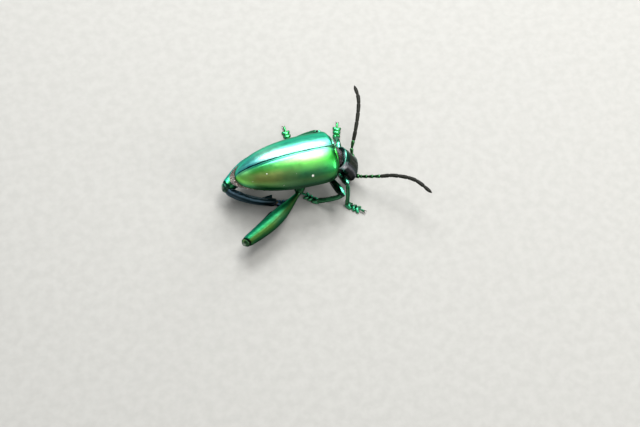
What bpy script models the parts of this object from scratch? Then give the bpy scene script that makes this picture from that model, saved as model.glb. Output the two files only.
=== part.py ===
"""A male frog-legged leaf beetle at life size, standing still with its head bowed to the floor.

Lengths are in millimetres until a mesh is finished, and then scaled to metres. The beetle faces +X,
its left side is towards +Y, and the wing cases start at X = 0. A root empty carries every piece, and
sets the whole beetle down with its outer box centred over the origin.
"""

import math

import bmesh
import bpy
from mathutils import Matrix, Vector

MM = 0.001
GAP = 0.09  # clearance between two pieces that meet
UP = Vector((0, 0, 1))
LEFT = Vector((0, 1, 0))
EDGE = 6.0  # height of the wing cases' side edges

CASE_LENGTH = 16.9
CASE_HALF_WIDTH = 4.54
CASE_HEIGHT = 4.14
CASE_WALL = 0.55
CASE_WIDEST = 0.28  # share of the length at which the cases are widest and highest
CASE_SQUARENESS = 2.2  # power of the superellipse of the cross-section
SEAM_HALF = 0.04
SHOULDER_BUMP = 0.16

ABDOMEN_FRONT = -5.85
ABDOMEN_TAIL = -17.75
ABDOMEN_DEPTH = 2.1
SEGMENT_JOINTS = (-9.2, -11.1, -12.9, -14.6)  # where one belly plate ends and the next begins
METATHORAX_FRONT = -1.1
METATHORAX_DEPTH = 2.75

SHIELD_BASE = Vector((0.85, -0.55, EDGE - 0.3))  # middle of the neck shield's hind opening
SHIELD_YAW = -18.0
SHIELD_PITCH = -52.0
SHIELD_LENGTH = 4.0
SHIELD_HALF_WIDTH = 2.05

HEAD_BASE = Vector((2.72, -1.18, 3.05))
HEAD_YAW = -18.0
HEAD_PITCH = -86.0
HEAD_LENGTH = 2.35
HEAD_HALF_WIDTH = 1.32
EYE_RADIUS = 0.56

ANTENNA_LENGTHS = (1.15, 0.5, 1.0, 1.1, 1.25, 1.45, 1.5, 1.5, 1.5, 1.5, 1.75)
ANTENNA_BASE_COUNT = 5  # joints of the bright, beaded lower part
ANTENNA_ROUTES = {
    "left": (
        (3.6, -0.85, 1.75),
        (4.25, 0.1, 1.7),
        (4.2, 1.3, 2.15),
        (4.1, 2.1, 3.3),
        (5.15, 4.15, 5.0),
        (6.4, 6.9, 6.0),
        (7.3, 9.6, 6.45),
        (7.4, 12.2, 6.5),
    ),
    "right": (
        (3.3, -1.85, 1.8),
        (4.2, -2.75, 2.3),
        (6.8, -4.5, 4.2),
        (9.0, -5.5, 5.2),
        (11.7, -7.5, 6.0),
        (13.6, -10.6, 6.2),
    ),
}

FOOT_HEIGHT = 0.62  # height of each ankle
COXA_RADIUS = 0.62
HIND_COXA_RADIUS = 0.95
HIND_FEMUR_BOWS = {"left": 1.45, "right": 0.52}  # how far each swollen femur curves outwards at its middle
HIND_TIBIA_BOW = 0.6
TIBIA_BOW = 0.18

# Femur and tibia: length, then the greatest half thickness and half depth. The tarsus has its length.
LEG_SIZES = {
    "fore": {"femur": (3.8, 0.52, 0.62), "tibia": (4.1, 0.32, 0.4), "tarsus": 3.3, "foot": 0.56},
    "mid": {"femur": (5.1, 0.55, 0.68), "tibia": (5.4, 0.33, 0.42), "tarsus": 3.4, "foot": 0.55},
    "hind": {"femur": (13.5, 1.26, 1.55), "tibia": (9.2, 0.54, 0.62), "tarsus": 2.9, "foot": 0.54},
}

# Headings in degrees: the femur's yaw and rise, the tibia's yaw and the tarsus's yaw.
LEG_POSES = {
    "fore_left": {"femur": (73.5, 16.5), "tibia": 73.5, "tarsus": 70.0},
    "fore_right": {"femur": (-81.5, 28.0), "tibia": -98.0, "tarsus": -40.0},
    "mid_left": {"femur": (81.5, 7.0), "tibia": 170.5, "tarsus": 92.0},
    "mid_right": {"femur": (-77.2, 15.5), "tibia": 151.5, "tarsus": 135.0},
    "hind_left": {"femur": (-160.5, 3.7), "tibia": -19.0, "tarsus": -11.0},
    "hind_right": {"femur": (-147.4, 3.8), "tibia": 39.8, "tarsus": 9.0},
}

MID_COXA = Vector((-1.2, 1.35, 3.35))
HIND_COXA = Vector((-6.2, 1.95, 3.75))
MID_HIP = Vector((-1.2, 1.7, 2.9))
HIND_HIPS = {"left": Vector((-5.9, 4.1, 2.8)), "right": Vector((-6.7, -3.4, 2.65))}

COLOURS = {
    "wing_case": (0.030, 0.420, 0.090),
    "shield": (0.012, 0.060, 0.030),
    "belly": (0.015, 0.110, 0.050),
    "leg": (0.020, 0.260, 0.080),
    "dark_leg": (0.012, 0.060, 0.060),
    "foot": (0.060, 0.160, 0.060),
    "eye": (0.012, 0.010, 0.010),
    "jaw": (0.020, 0.014, 0.012),
    "antenna_base": (0.016, 0.150, 0.060),
    "antenna_tip": (0.020, 0.022, 0.020),
}
DULL = {"eye": 0.0, "jaw": 0.2, "antenna_tip": 0.1}


# Materials and objects


def finish(slot):
    """The material of a slot, made once."""
    material = bpy.data.materials.get(slot)
    if material is None:
        material = bpy.data.materials.new(slot)
        material.use_nodes = True
        shader = material.node_tree.nodes["Principled BSDF"]
        shader.inputs["Base Color"].default_value = (*COLOURS[slot], 1.0)
        shader.inputs["Metallic"].default_value = DULL.get(slot, 1.0)
        shader.inputs["Roughness"].default_value = 0.35 if slot in DULL else 0.22
    return material


def mesh_object(name, rings, slot):
    """A closed skin through rings of equal count, capped at both ends."""
    shape = bmesh.new()
    rows = [[shape.verts.new(point * MM) for point in ring] for ring in rings]
    for first, second in zip(rows, rows[1:]):
        for i in range(len(first)):
            j = (i + 1) % len(first)
            shape.faces.new((first[i], first[j], second[j], second[i]))
    shape.faces.new(rows[0])
    shape.faces.new(reversed(rows[-1]))
    bmesh.ops.recalc_face_normals(shape, faces=shape.faces)
    bmesh.ops.triangulate(shape, faces=[face for face in shape.faces if len(face.verts) > 4])
    mesh = bpy.data.meshes.new(name)
    shape.to_mesh(mesh)
    shape.free()
    mesh.shade_smooth()
    mesh.set_sharp_from_angle(angle=math.radians(45))
    mesh.materials.append(finish(slot))
    piece = bpy.data.objects.new(name, mesh)
    bpy.context.scene.collection.objects.link(piece)
    return piece


def helper(piece):
    """Marks a piece as a tool that cuts or joins others."""
    piece.name = piece.name + "_tool"
    piece.hide_render = True
    piece.display_type = "WIRE"
    return piece


def combine(piece, tool, operation="DIFFERENCE"):
    change = piece.modifiers.new(tool.name, "BOOLEAN")
    change.operation = operation
    change.solver = "EXACT"
    change.object = tool


# Shape formulas


def swell(value, power):
    """A signed power, which squares a circle off into a superellipse."""
    return math.copysign(abs(value) ** power, value)


def blend(table, place):
    """Values read from rows of (place, value, ...) with smooth steps between the rows."""
    if place <= table[0][0]:
        return table[0][1:]
    for low, high in zip(table, table[1:]):
        if place <= high[0]:
            share = (place - low[0]) / (high[0] - low[0])
            share = share * share * (3 - 2 * share)
            return tuple(a + (b - a) * share for a, b in zip(low[1:], high[1:]))
    return table[-1][1:]


def heading(yaw, rise):
    """The unit vector that points yaw degrees round from +X and rise degrees above level."""
    tilt = Matrix.Rotation(math.radians(-rise), 3, "Y")
    return Matrix.Rotation(math.radians(yaw), 3, "Z") @ tilt @ Vector((1, 0, 0))


def oval(centre, across, upward, half_width, top, bottom, sides, power=1.0, tuck=0.0):
    """One ring whose upper and lower halves differ in height. tuck narrows the lower half."""
    ring = []
    for i in range(sides):
        angle = 2 * math.pi * (i + 0.5) / sides
        narrow = 1 - tuck * max(0.0, -math.sin(angle))
        side = swell(math.cos(angle), power) * half_width * narrow
        lift = swell(math.sin(angle), power) * (top if math.sin(angle) > 0 else bottom)
        ring.append(centre + across * side + upward * lift)
    return ring


def eased(count, start=0.0, end=1.0):
    """Places that crowd towards both ends, where a rounded form turns fastest."""
    return [start + (end - start) * (1 - math.cos(math.pi * i / (count - 1))) / 2 for i in range(count)]


def limb(name, start, end, upward, profile, sides, slot, grow=0.0, count=9, bow=Vector((0, 0, 0))):
    """A rounded length from start to end, pushed aside by bow at its middle.

    profile(share) gives the half width, and the depths above and below the axis.
    """
    along = (end - start).normalized()
    across = along.cross(upward).normalized()
    over = across.cross(along)
    length = (end - start).length
    rings = []
    for share in eased(count):
        half_width, top, bottom = profile(share)
        reach = -grow + (length + 2 * grow) * share
        centre = start + along * reach + bow * math.sin(math.pi * share)
        rings.append(oval(centre, across, over, half_width + grow, top + grow, bottom + grow, sides))
    return mesh_object(name, rings, slot)


def rounded(share, blunt=0.5):
    """Falls to nothing at both ends of a length, quickly where blunt is small."""
    return max(0.0, 1 - abs(2 * share - 1) ** (2 / blunt)) ** 0.5


# Wing cases


def case_width(share):
    if share > CASE_WIDEST:
        fall = (share - CASE_WIDEST) / (1 - CASE_WIDEST)
        return math.sqrt(max(0.0, 1 - fall**2))
    fall = (CASE_WIDEST - share) / (CASE_WIDEST + 0.012)
    return (1 - fall**4) ** 0.25


def case_height(share):
    if share > CASE_WIDEST:
        fall = (share - CASE_WIDEST) / (1 - CASE_WIDEST)
        return math.sqrt(max(0.0, 1 - fall**2.3))
    fall = (CASE_WIDEST - share) / CASE_WIDEST
    return 1 - 0.10 * fall**2 - 0.12 * fall**9


def case_point(side, share, turn, inset):
    """A point of a wing case, turned from the seam (0) to the side edge (1)."""
    width = CASE_HALF_WIDTH * case_width(share)
    height = CASE_HEIGHT * case_height(share)
    width = max(width - inset, width * 0.35) if inset else width
    height = max(height - inset, height * 0.35) if inset else height
    angle = turn * math.pi / 2
    bump = 0.0
    if not inset:
        bump = SHOULDER_BUMP * math.exp(-(((share - 0.055) / 0.045) ** 2) - ((turn - 0.66) / 0.2) ** 2)
    power = 2 / CASE_SQUARENESS
    out = SEAM_HALF + (width - SEAM_HALF) * math.sin(angle) ** power + bump * math.sin(angle)
    rise = height * max(0.0, math.cos(angle)) ** power + bump * math.cos(angle)
    return Vector((-CASE_LENGTH * share, side * out, EDGE + rise))


def wing_case(side_name, side):
    outer_turns = 10
    inner_turns = 5
    rings = []
    for share in eased(20, 0.0, 0.9975):
        outer = [case_point(side, share, i / (outer_turns - 1), 0.0) for i in range(outer_turns)]
        inner = [case_point(side, share, i / (inner_turns - 1), CASE_WALL) for i in range(inner_turns)]
        rings.append(outer + inner[::-1])
    return mesh_object("wing_case_" + side_name, rings, "wing_case")


def shield_plate(grow=0.0):
    """The small triangle between the bases of the wing cases."""
    rings = []
    for share in (0.0, 0.35, 0.7, 1.0):
        half_width = 0.5 * (1 - share) + 0.06 + grow
        x = 0.2 + grow - (1.15 + 2 * grow) * share
        height = CASE_HEIGHT * case_height(max(0.0, -x / CASE_LENGTH))
        top = EDGE + height + 0.03 + 0.10 * min(0.0, 0.1 - x)
        thick = 0.3 + grow
        rings.append(oval(Vector((x, 0, top - 0.26)), LEFT, UP, half_width, thick, thick, 8, 0.8))
    return mesh_object("scutellum", rings, "wing_case")


# Trunk


def trunk_section(x, half_width, depth, lift, sides=16):
    """A belly below the side edges, and a narrower back that fits under the wing cases."""
    share = min(max(-x / CASE_LENGTH, 0.0), 1.0)
    case_half_width = CASE_HALF_WIDTH * case_width(share)
    inner = max(case_half_width - CASE_WALL, case_half_width * 0.35) - 4 * GAP
    inner = max(min(inner, half_width), 0.12)
    shoulder = EDGE - GAP
    ring = []
    below = 10
    for i in range(below + 1):
        angle = math.pi * i / below
        side = swell(math.cos(angle), 0.9) * half_width
        drop = swell(math.sin(angle), 0.9) * depth
        ring.append(Vector((x, side, shoulder - drop)))
    above = sides - below - 1
    for i in range(above):
        angle = math.pi * i / (above - 1)
        side = -math.cos(angle) * inner
        ring.append(Vector((x, side, shoulder + 0.02 + math.sin(angle) * lift)))
    return ring


def abdomen_half_width(x):
    fall = (-x - CASE_WIDEST * CASE_LENGTH) / (-ABDOMEN_TAIL - CASE_WIDEST * CASE_LENGTH)
    return 4.12 * math.sqrt(max(0.0, 1 - max(0.0, fall) ** 2))


def abdomen_depth(x):
    fall = (ABDOMEN_FRONT - x) / (ABDOMEN_FRONT - ABDOMEN_TAIL)
    return ABDOMEN_DEPTH * max(0.0, 1 - fall**1.45) ** 0.85 + 0.25


def back_lift(x):
    """How high the soft back rises under the wing cases."""
    share = min(max(-x / CASE_LENGTH, 0.0), 1.0)
    return max(0.03, 0.55 * (CASE_HEIGHT * case_height(share) - CASE_WALL) - 0.2)


def abdomen():
    """Five belly plates, each stepping in a little at its joint with the next."""
    places = [(ABDOMEN_FRONT, 0.0)]
    for joint in SEGMENT_JOINTS:
        places += [(joint + 0.7, 0.02), (joint + 0.12, 0.0), (joint, 0.13)]
    places += [(-15.7, 0.0), (-16.6, 0.0), (-17.2, 0.0), (-17.55, 0.0), (ABDOMEN_TAIL + 0.02, 0.0)]
    rings = []
    for x, step in places:
        rings.append(trunk_section(x, abdomen_half_width(x) - step, abdomen_depth(x) - step, back_lift(x)))
    return mesh_object("abdomen", rings, "belly")


def metathorax():
    rows = (
        (METATHORAX_FRONT, 2.9, 2.1),
        (-1.9, 3.55, 2.5),
        (-3.0, 3.95, METATHORAX_DEPTH),
        (-4.2, 4.1, METATHORAX_DEPTH),
        (-5.1, 4.12, 2.6),
        (ABDOMEN_FRONT + GAP, 4.1, 2.4),
    )
    rings = [trunk_section(x, wide, deep, back_lift(x)) for x, wide, deep in rows]
    return mesh_object("metathorax", rings, "belly")


def mesothorax():
    """The dark collar that shows between the neck shield and the wing cases."""
    rows = (
        (2.0, 1.35, 0.9, 1.0),
        (1.2, 1.75, 1.35, 1.35),
        (0.5, 2.2, 1.75, 1.95),
        (0.0, 2.25, 1.95, 2.3),
        (METATHORAX_FRONT + GAP, 2.3, 2.15, 2.3),
    )
    rings = []
    for x, wide, deep, high in rows:
        centre = Vector((x, -0.25 * max(0.0, x), EDGE - 0.2 - 0.25 * max(0.0, x)))
        rings.append(oval(centre, LEFT, UP, wide, high, deep, 18, 0.92))
    return mesh_object("mesothorax", rings, "shield")


# Neck shield, head and what grows from it


def frame(yaw, pitch):
    """The forward, left and upward directions of a turned piece."""
    forward = heading(yaw, pitch)
    left = heading(yaw + 90, 0)
    return forward, left, forward.cross(left)


def neck_shield(grow=0.0):
    """The prothorax: a waisted barrel with knobbed front corners and a rim round its hind opening."""
    forward, left, over = frame(SHIELD_YAW, SHIELD_PITCH)
    rows = (
        (0.0, 1.00, 1.66, 1.42),
        (0.05, 1.07, 1.80, 1.50),
        (0.11, 1.03, 1.78, 1.48),
        (0.3, 0.98, 1.82, 1.45),
        (0.55, 0.98, 1.76, 1.40),
        (0.75, 1.06, 1.62, 1.32),
        (0.88, 1.14, 1.45, 1.22),
        (0.95, 1.08, 1.28, 1.10),
        (1.0, 0.93, 1.05, 0.95),
    )
    rings = []
    for share, wide, high, deep in rows:
        centre = SHIELD_BASE + forward * (SHIELD_LENGTH * share + grow * (2 * share - 1))
        half_width = SHIELD_HALF_WIDTH * wide + grow
        rings.append(oval(centre, left, over, half_width, high + grow, deep + grow, 18, 0.92, 0.3))
    return mesh_object("prothorax", rings, "shield")


def head_point(along, side, lift):
    forward, left, over = frame(HEAD_YAW, HEAD_PITCH)
    return HEAD_BASE + forward * along + left * side + over * lift


def head(grow=0.0):
    """A capsule that widens to the eyes and narrows to the mouth."""
    _, left, over = frame(HEAD_YAW, HEAD_PITCH)
    rows = (
        (0.0, 0.55, 0.50, 0.50),
        (0.1, 0.80, 0.78, 0.72),
        (0.3, 0.96, 0.98, 0.84),
        (0.52, 1.00, 1.02, 0.84),
        (0.7, 0.88, 0.90, 0.74),
        (0.85, 0.74, 0.66, 0.60),
        (1.0, 0.60, 0.42, 0.46),
    )
    rings = []
    for share, wide, high, deep in rows:
        centre = head_point(HEAD_LENGTH * share + grow * (2 * share - 1), 0, 0)
        half_width = HEAD_HALF_WIDTH * wide + grow
        rings.append(oval(centre, left, over, half_width, high + grow, deep + grow, 16, 0.95))
    return mesh_object("head", rings, "shield")


def eye(side_name, side, grow=0.0):
    """A bulging kidney, flattened against the head."""
    centre = head_point(HEAD_LENGTH * 0.47, side * HEAD_HALF_WIDTH * 0.88, 0.16)
    _, left, over = frame(HEAD_YAW, HEAD_PITCH)
    back = over.cross(left)
    radius = EYE_RADIUS + grow
    rings = []
    for i in range(1, 8):
        angle = math.pi * i / 8
        middle = centre + left * (side * -math.cos(angle) * radius * 0.85)
        size = math.sin(angle) * radius
        rings.append(oval(middle, back, over, size * 1.05, size * 1.1, size, 10))
    return mesh_object("eye_" + side_name, rings, "eye")


def mandible(side_name, side):
    """A stout hook, broad at its root, that bends in to meet its fellow."""
    rings = []
    _, left, over = frame(HEAD_YAW, HEAD_PITCH)
    for share in eased(6):
        along = HEAD_LENGTH * 0.9 + 0.85 * share
        out = 0.50 - 0.38 * share**2.2
        thick = 0.30 * (1 - share) ** 0.7 + 0.05
        centre = head_point(along, side * out, -0.05)
        rings.append(oval(centre, left, over, thick, thick * 1.05, thick * 1.05, 8))
    return mesh_object("mandible_" + side_name, rings, "jaw")


def mouthparts():
    """The lower lip with a pair of three-jointed feelers."""
    _, left, over = frame(HEAD_YAW, HEAD_PITCH)
    rows = ((0.72, 0.35, 0.16), (0.8, 0.42, 0.22), (0.95, 0.36, 0.2), (1.08, 0.2, 0.14))
    lip_rings = []
    for share, wide, thick in rows:
        centre = head_point(HEAD_LENGTH * share, 0, -0.68 + 0.12 * share)
        lip_rings.append(oval(centre, left, over, wide, thick, thick, 8))
    lip = mesh_object("mouthparts", lip_rings, "jaw")
    for side in (-1, 1):
        start = head_point(HEAD_LENGTH * 0.88, side * 0.28, -0.58)
        end = head_point(HEAD_LENGTH * 1.22, side * 0.66, -0.62)

        def beads(share):
            size = 0.13 + 0.045 * abs(math.sin(3 * math.pi * share))
            return size, size, size

        palp = helper(limb("palp_%+d" % side, start, end, over, beads, 5, "jaw", count=6))
        combine(lip, palp, "UNION")
    return lip


def smooth_route(points, steps):
    """Points along a Catmull-Rom curve through the given ones."""
    points = [Vector(point) for point in points]
    ends = [2 * points[0] - points[1], *points, 2 * points[-1] - points[-2]]
    route = []
    for a, b, c, d in zip(ends, ends[1:], ends[2:], ends[3:]):
        for i in range(steps):
            t = i / steps
            bend = (2 * a - 5 * b + 4 * c - d) * t**2 + (3 * b - a - 3 * c + d) * t**3
            route.append(0.5 * (2 * b + (c - a) * t + bend))
    return route + [points[-1]]


def walk(route, distance):
    """The point at a distance along a route, and the direction there."""
    for a, b in zip(route, route[1:]):
        along = (b - a).normalized()
        step = (b - a).length
        if distance <= step:
            break
        distance -= step
    return a + along * min(distance, step), along


def antenna_radius(joint):
    """The club thickens from the sixth joint on."""
    if joint == 0:
        return 0.34
    return 0.255 if joint < ANTENNA_BASE_COUNT else 0.30


def antenna(side_name, joints, part_name, slot, sides=6):
    """Joints from first to last as one beaded length, each swelling towards its far end."""
    route = smooth_route(ANTENNA_ROUTES[side_name], 12)
    total = sum((b - a).length for a, b in zip(route, route[1:]))
    scale = total / sum(ANTENNA_LENGTHS)
    rings = []
    for joint in joints:
        start = sum(ANTENNA_LENGTHS[:joint]) * scale
        length = ANTENNA_LENGTHS[joint] * scale
        radius = antenna_radius(joint)
        shape = ((0.04, 0.78), (0.62, 0.98), (0.9, 1.0))
        if joint == len(ANTENNA_LENGTHS) - 1:
            shape = ((0.04, 0.78), (0.55, 0.95), (0.85, 0.62), (1.0, 0.16))
        for share, wide in shape:
            point, along = walk(route, start + length * share)
            across = along.cross(UP).normalized()
            size = radius * wide
            rings.append(oval(point, across, across.cross(along), size, size, size, sides))
    return mesh_object("antenna_%s_%s" % (side_name, part_name), rings, slot)


# Legs


def coxa(centre, tip, radius):
    """A maker of the ball that a leg swings on, from inside the trunk to the hip."""

    def plump(share):
        size = radius * rounded(share, 0.75) + 0.04
        return size, size, size

    along = (tip - centre).normalized()
    end = tip + along * 0.25
    start = centre - along * radius
    return lambda grow, new_name: limb(new_name, start, end, Vector((0.2, 0, 1)), plump, 10, "belly", grow, 6)


def femur_profile(kind):
    _, thick, deep = LEG_SIZES[kind]["femur"]
    if kind == "hind":
        rows = (
            (0.0, 0.22, 0.15, 0.15),
            (0.05, 0.30, 0.22, 0.22),
            (0.2, 0.62, 0.58, 0.54),
            (0.38, 0.93, 0.94, 0.88),
            (0.55, 1.0, 1.0, 1.0),
            (0.72, 0.92, 0.86, 0.95),
            (0.84, 0.82, 0.74, 0.84),
            (0.92, 0.72, 0.66, 0.66),
            (0.97, 0.54, 0.5, 0.46),
            (1.0, 0.2, 0.18, 0.16),
        )
    else:
        rows = (
            (0.0, 0.5, 0.42, 0.42),
            (0.08, 0.62, 0.56, 0.56),
            (0.5, 0.95, 0.95, 0.95),
            (0.7, 1.0, 1.0, 1.0),
            (0.88, 0.84, 0.8, 0.8),
            (0.96, 0.66, 0.62, 0.6),
            (1.0, 0.35, 0.3, 0.3),
        )

    def profile(share):
        wide, top, bottom = blend(rows, share)
        return wide * thick, top * deep, bottom * deep

    return profile


def tibia_profile(kind):
    """The hind tibia is stout right from the knee, and the others start slender."""
    _, thick, deep = LEG_SIZES[kind]["tibia"]
    if kind == "hind":
        rows = ((0.0, 0.7, 0.65), (0.06, 1.12, 1.1), (0.2, 1.2, 1.2), (0.5, 1.06, 1.06), (1.0, 0.8, 0.75))
    else:
        rows = ((0.0, 0.55, 0.5), (0.06, 0.85, 0.8), (0.35, 0.98, 0.98), (0.95, 1.05, 1.02), (1.0, 0.8, 0.75))

    def profile(share):
        wide, size = blend(rows, share)
        return wide * thick, size * deep, size * deep

    return profile


def foot_sections(length, half_width):
    """Three lobed pads and the claw joint: distance, half width, underside and top."""
    return (
        (-0.30, 0.20, 0.26, 0.50),
        (-0.10, 0.27, 0.06, 0.60),
        (0.10 * length, 0.72 * half_width, 0.0, 0.58),
        (0.27 * length, 0.95 * half_width, 0.0, 0.50),
        (0.31 * length, 0.28, 0.08, 0.42),
        (0.36 * length, 0.72 * half_width, 0.0, 0.50),
        (0.47 * length, 1.02 * half_width, 0.0, 0.46),
        (0.51 * length, 0.26, 0.08, 0.40),
        (0.56 * length, 0.75 * half_width, 0.0, 0.47),
        (0.68 * length, 1.10 * half_width, 0.0, 0.38),
        (0.72 * length, 0.20, 0.10, 0.38),
        (0.90 * length, 0.21, 0.14, 0.54),
        (0.97 * length, 0.14, 0.18, 0.44),
    )


def foot_ring(centre, across, half_width, low, high):
    """Six corners with a flat sole."""
    ring = []
    for side, share in ((0.7, 0.0), (1.0, 0.42), (0.45, 1.0), (-0.45, 1.0), (-1.0, 0.42), (-0.7, 0.0)):
        ring.append(centre + across * side * half_width + Vector((0, 0, low + (high - low) * share)))
    return ring


def foot(name, ankle, yaw, kind):
    """Pads lie flat on the floor, and a slender joint carries two claws."""
    length = LEG_SIZES[kind]["tarsus"]
    along = heading(yaw, 0)
    across = heading(yaw + 90, 0)
    ground = Vector((ankle.x, ankle.y, 0))
    rings = []
    for distance, half_width, low, high in foot_sections(length, LEG_SIZES[kind]["foot"]):
        rings.append(foot_ring(ground + along * distance, across, half_width, low, high))
    tarsus = mesh_object(name, rings, "foot")
    for side in (-1, 1):
        claw_rings = []
        for share in (0.0, 0.5, 1.0):
            centre = ground + along * (length * 0.90 + 0.5 * share) + across * side * (0.08 + 0.26 * share)
            centre.z = 0.38 - 0.26 * share**2
            size = 0.12 - 0.085 * share
            claw_rings.append(oval(centre, across, UP, size, size, size, 5))
        combine(tarsus, helper(mesh_object(name + "_claw_%+d" % side, claw_rings, "foot")), "UNION")
    return tarsus


def bend_side(start, middle, end):
    """The direction, square to start-middle, that points away from end."""
    along = (middle - start).normalized()
    reach = end - middle
    return (along * reach.dot(along) - reach).normalized()


def thigh_tooth(name, hip, knee, over, kind, bow):
    """The tooth on the underside of the swollen femur, near its far end."""
    _, _, deep = LEG_SIZES[kind]["femur"]
    along = (knee - hip).normalized()
    root = hip + along * ((knee - hip).length * 0.73) - over * deep * 0.45 + bow * math.sin(math.pi * 0.71)
    tip = root - over * deep * 0.4 + along * 0.1

    def spike(share):
        size = 0.42 * (1 - share) + 0.05
        return size * 0.6, size, size

    return limb(name, root, tip, along, spike, 8, "leg", count=4)


def shin_tooth(name, knee, ankle, over):
    """The pointed lobe on the inner side of the hind tibia, which rises slowly and drops steeply."""
    along = (ankle - knee).normalized()
    root = knee + along * ((ankle - knee).length * 0.86) + over * 0.15
    tip = root - over * 1.2 + along * 0.28

    def spike(share):
        size = 1 - share
        return 0.3 * size + 0.05, 0.4 * size + 0.06, 1.35 * size + 0.06

    return limb(name, root, tip, along, spike, 8, "dark_leg", count=4)


def leg(kind, side_name, socket, hip):
    """The four nodes of one leg, each cut clear of the one it hangs from."""
    name = kind + "_" + side_name
    hind = kind == "hind"
    pose = LEG_POSES[name]
    femur_length, _, femur_depth = LEG_SIZES[kind]["femur"]
    tibia_length = LEG_SIZES[kind]["tibia"][0]
    along = heading(*pose["femur"])
    knee = hip + along * femur_length
    drop = math.degrees(math.asin((knee.z - FOOT_HEIGHT) / tibia_length))
    ankle = knee + heading(pose["tibia"], -drop) * tibia_length
    over = bend_side(hip, knee, ankle)
    shin_over = bend_side(ankle, knee, hip)
    outwards = along.cross(UP) * (1 if side_name == "left" else -1)
    thigh_bow = outwards * (HIND_FEMUR_BOWS[side_name] if hind else 0.0)
    shin_bow = shin_over * (HIND_TIBIA_BOW if hind else TIBIA_BOW)
    make_coxa = coxa(socket, hip, HIND_COXA_RADIUS if hind else COXA_RADIUS)
    tip = knee + along * femur_depth * 0.3
    slot = "dark_leg" if hind else "leg"

    def make_femur(grow, new_name):
        sides, count = (12, 12) if hind else (10, 8)
        return limb(new_name, hip, tip, over, femur_profile(kind), sides, "leg", grow, count, thigh_bow)

    def make_tibia(grow, new_name):
        return limb(new_name, knee, ankle, shin_over, tibia_profile(kind), 8, slot, grow, 8, shin_bow)

    make_coxa(0.0, name + "_coxa")
    thigh = make_femur(0.0, name + "_femur")
    shin = make_tibia(0.0, name + "_tibia")
    tarsus = foot(name + "_tarsus", ankle, pose["tarsus"], kind)
    if hind:
        combine(thigh, helper(thigh_tooth(name + "_thigh_tooth", hip, knee, over, kind, thigh_bow)), "UNION")
        combine(shin, helper(shin_tooth(name + "_shin_tooth", knee, ankle, shin_over)), "UNION")
    socket_room = helper(make_coxa(GAP, name + "_coxa_room"))
    combine(thigh, socket_room)
    combine(shin, helper(make_femur(GAP, name + "_femur_room")))
    combine(tarsus, helper(make_tibia(GAP, name + "_tibia_room")))
    return socket_room


def on_side(point, side):
    """A point of the left half, or its mirror image when side is -1."""
    return Vector((point.x, point.y * side, point.z))


def fore_socket(side):
    forward, left, over = frame(SHIELD_YAW, SHIELD_PITCH)
    return SHIELD_BASE + forward * 2.55 - over * 1.0 + left * side * 0.72


def fore_hip(side):
    forward, left, over = frame(SHIELD_YAW, SHIELD_PITCH)
    return SHIELD_BASE + forward * 2.5 - over * 1.85 + left * side * 0.8


# The whole beetle


def set_down(pieces):
    """Hangs every piece from one empty, which centres the outer box over the origin."""
    bpy.context.view_layer.update()
    shown = [piece for piece in pieces if not piece.hide_render]
    corners = [piece.matrix_world @ vertex.co for piece in shown for vertex in piece.data.vertices]
    low = [min(corner[i] for corner in corners) for i in range(3)]
    high = [max(corner[i] for corner in corners) for i in range(3)]
    root = bpy.data.objects.new("beetle", None)
    bpy.context.scene.collection.objects.link(root)
    root.location = (-(low[0] + high[0]) / 2, -(low[1] + high[1]) / 2, -low[2])
    for piece in pieces:
        piece.parent = root


def main():
    for old in list(bpy.data.objects):
        bpy.data.objects.remove(old)
    cases = {name: wing_case(name, side) for name, side in (("left", 1), ("right", -1))}
    scutellum = shield_plate()
    scutellum_room = helper(shield_plate(GAP))
    for case in cases.values():
        combine(case, scutellum_room)
    belly = abdomen()
    hind_chest = metathorax()
    collar = mesothorax()
    shield = neck_shield()
    shield_room = helper(neck_shield(GAP))
    skull = head()
    skull_room = helper(head(GAP))
    combine(collar, shield_room)
    combine(collar, scutellum_room)
    combine(shield, skull_room)
    mouth = mouthparts()
    combine(mouth, skull_room)
    for name, side in (("left", 1), ("right", -1)):
        eye(name, side)
        eye_room = helper(eye(name, side, GAP))
        combine(skull, eye_room)
        combine(shield, eye_room)
        combine(mandible(name, side), skull_room)
        feeler = antenna(name, range(ANTENNA_BASE_COUNT), "base", "antenna_base")
        combine(feeler, skull_room)
        combine(feeler, eye_room)
        antenna(name, range(ANTENNA_BASE_COUNT, len(ANTENNA_LENGTHS)), "tip", "antenna_tip")
        combine(shield, leg("fore", name, fore_socket(side), fore_hip(side)))
        mid_room = leg("mid", name, on_side(MID_COXA, side), on_side(MID_HIP, side))
        combine(hind_chest, mid_room)
        combine(collar, mid_room)
        hind_room = leg("hind", name, on_side(HIND_COXA, side), HIND_HIPS[name])
        combine(hind_chest, hind_room)
        combine(belly, hind_room)
    set_down(list(bpy.context.scene.collection.objects))


main()
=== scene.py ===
"""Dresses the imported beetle: polished metallic shells, jointed legs and feelers, faceted eyes, down and dust.

Sizes are in millimetres, in the beetle's own frame: X runs forward along the seam from the base of the
wing cases, Y to its left and Z up from the floor. placed() sets them where the solids stand.
"""

import math
from functools import partial

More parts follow.
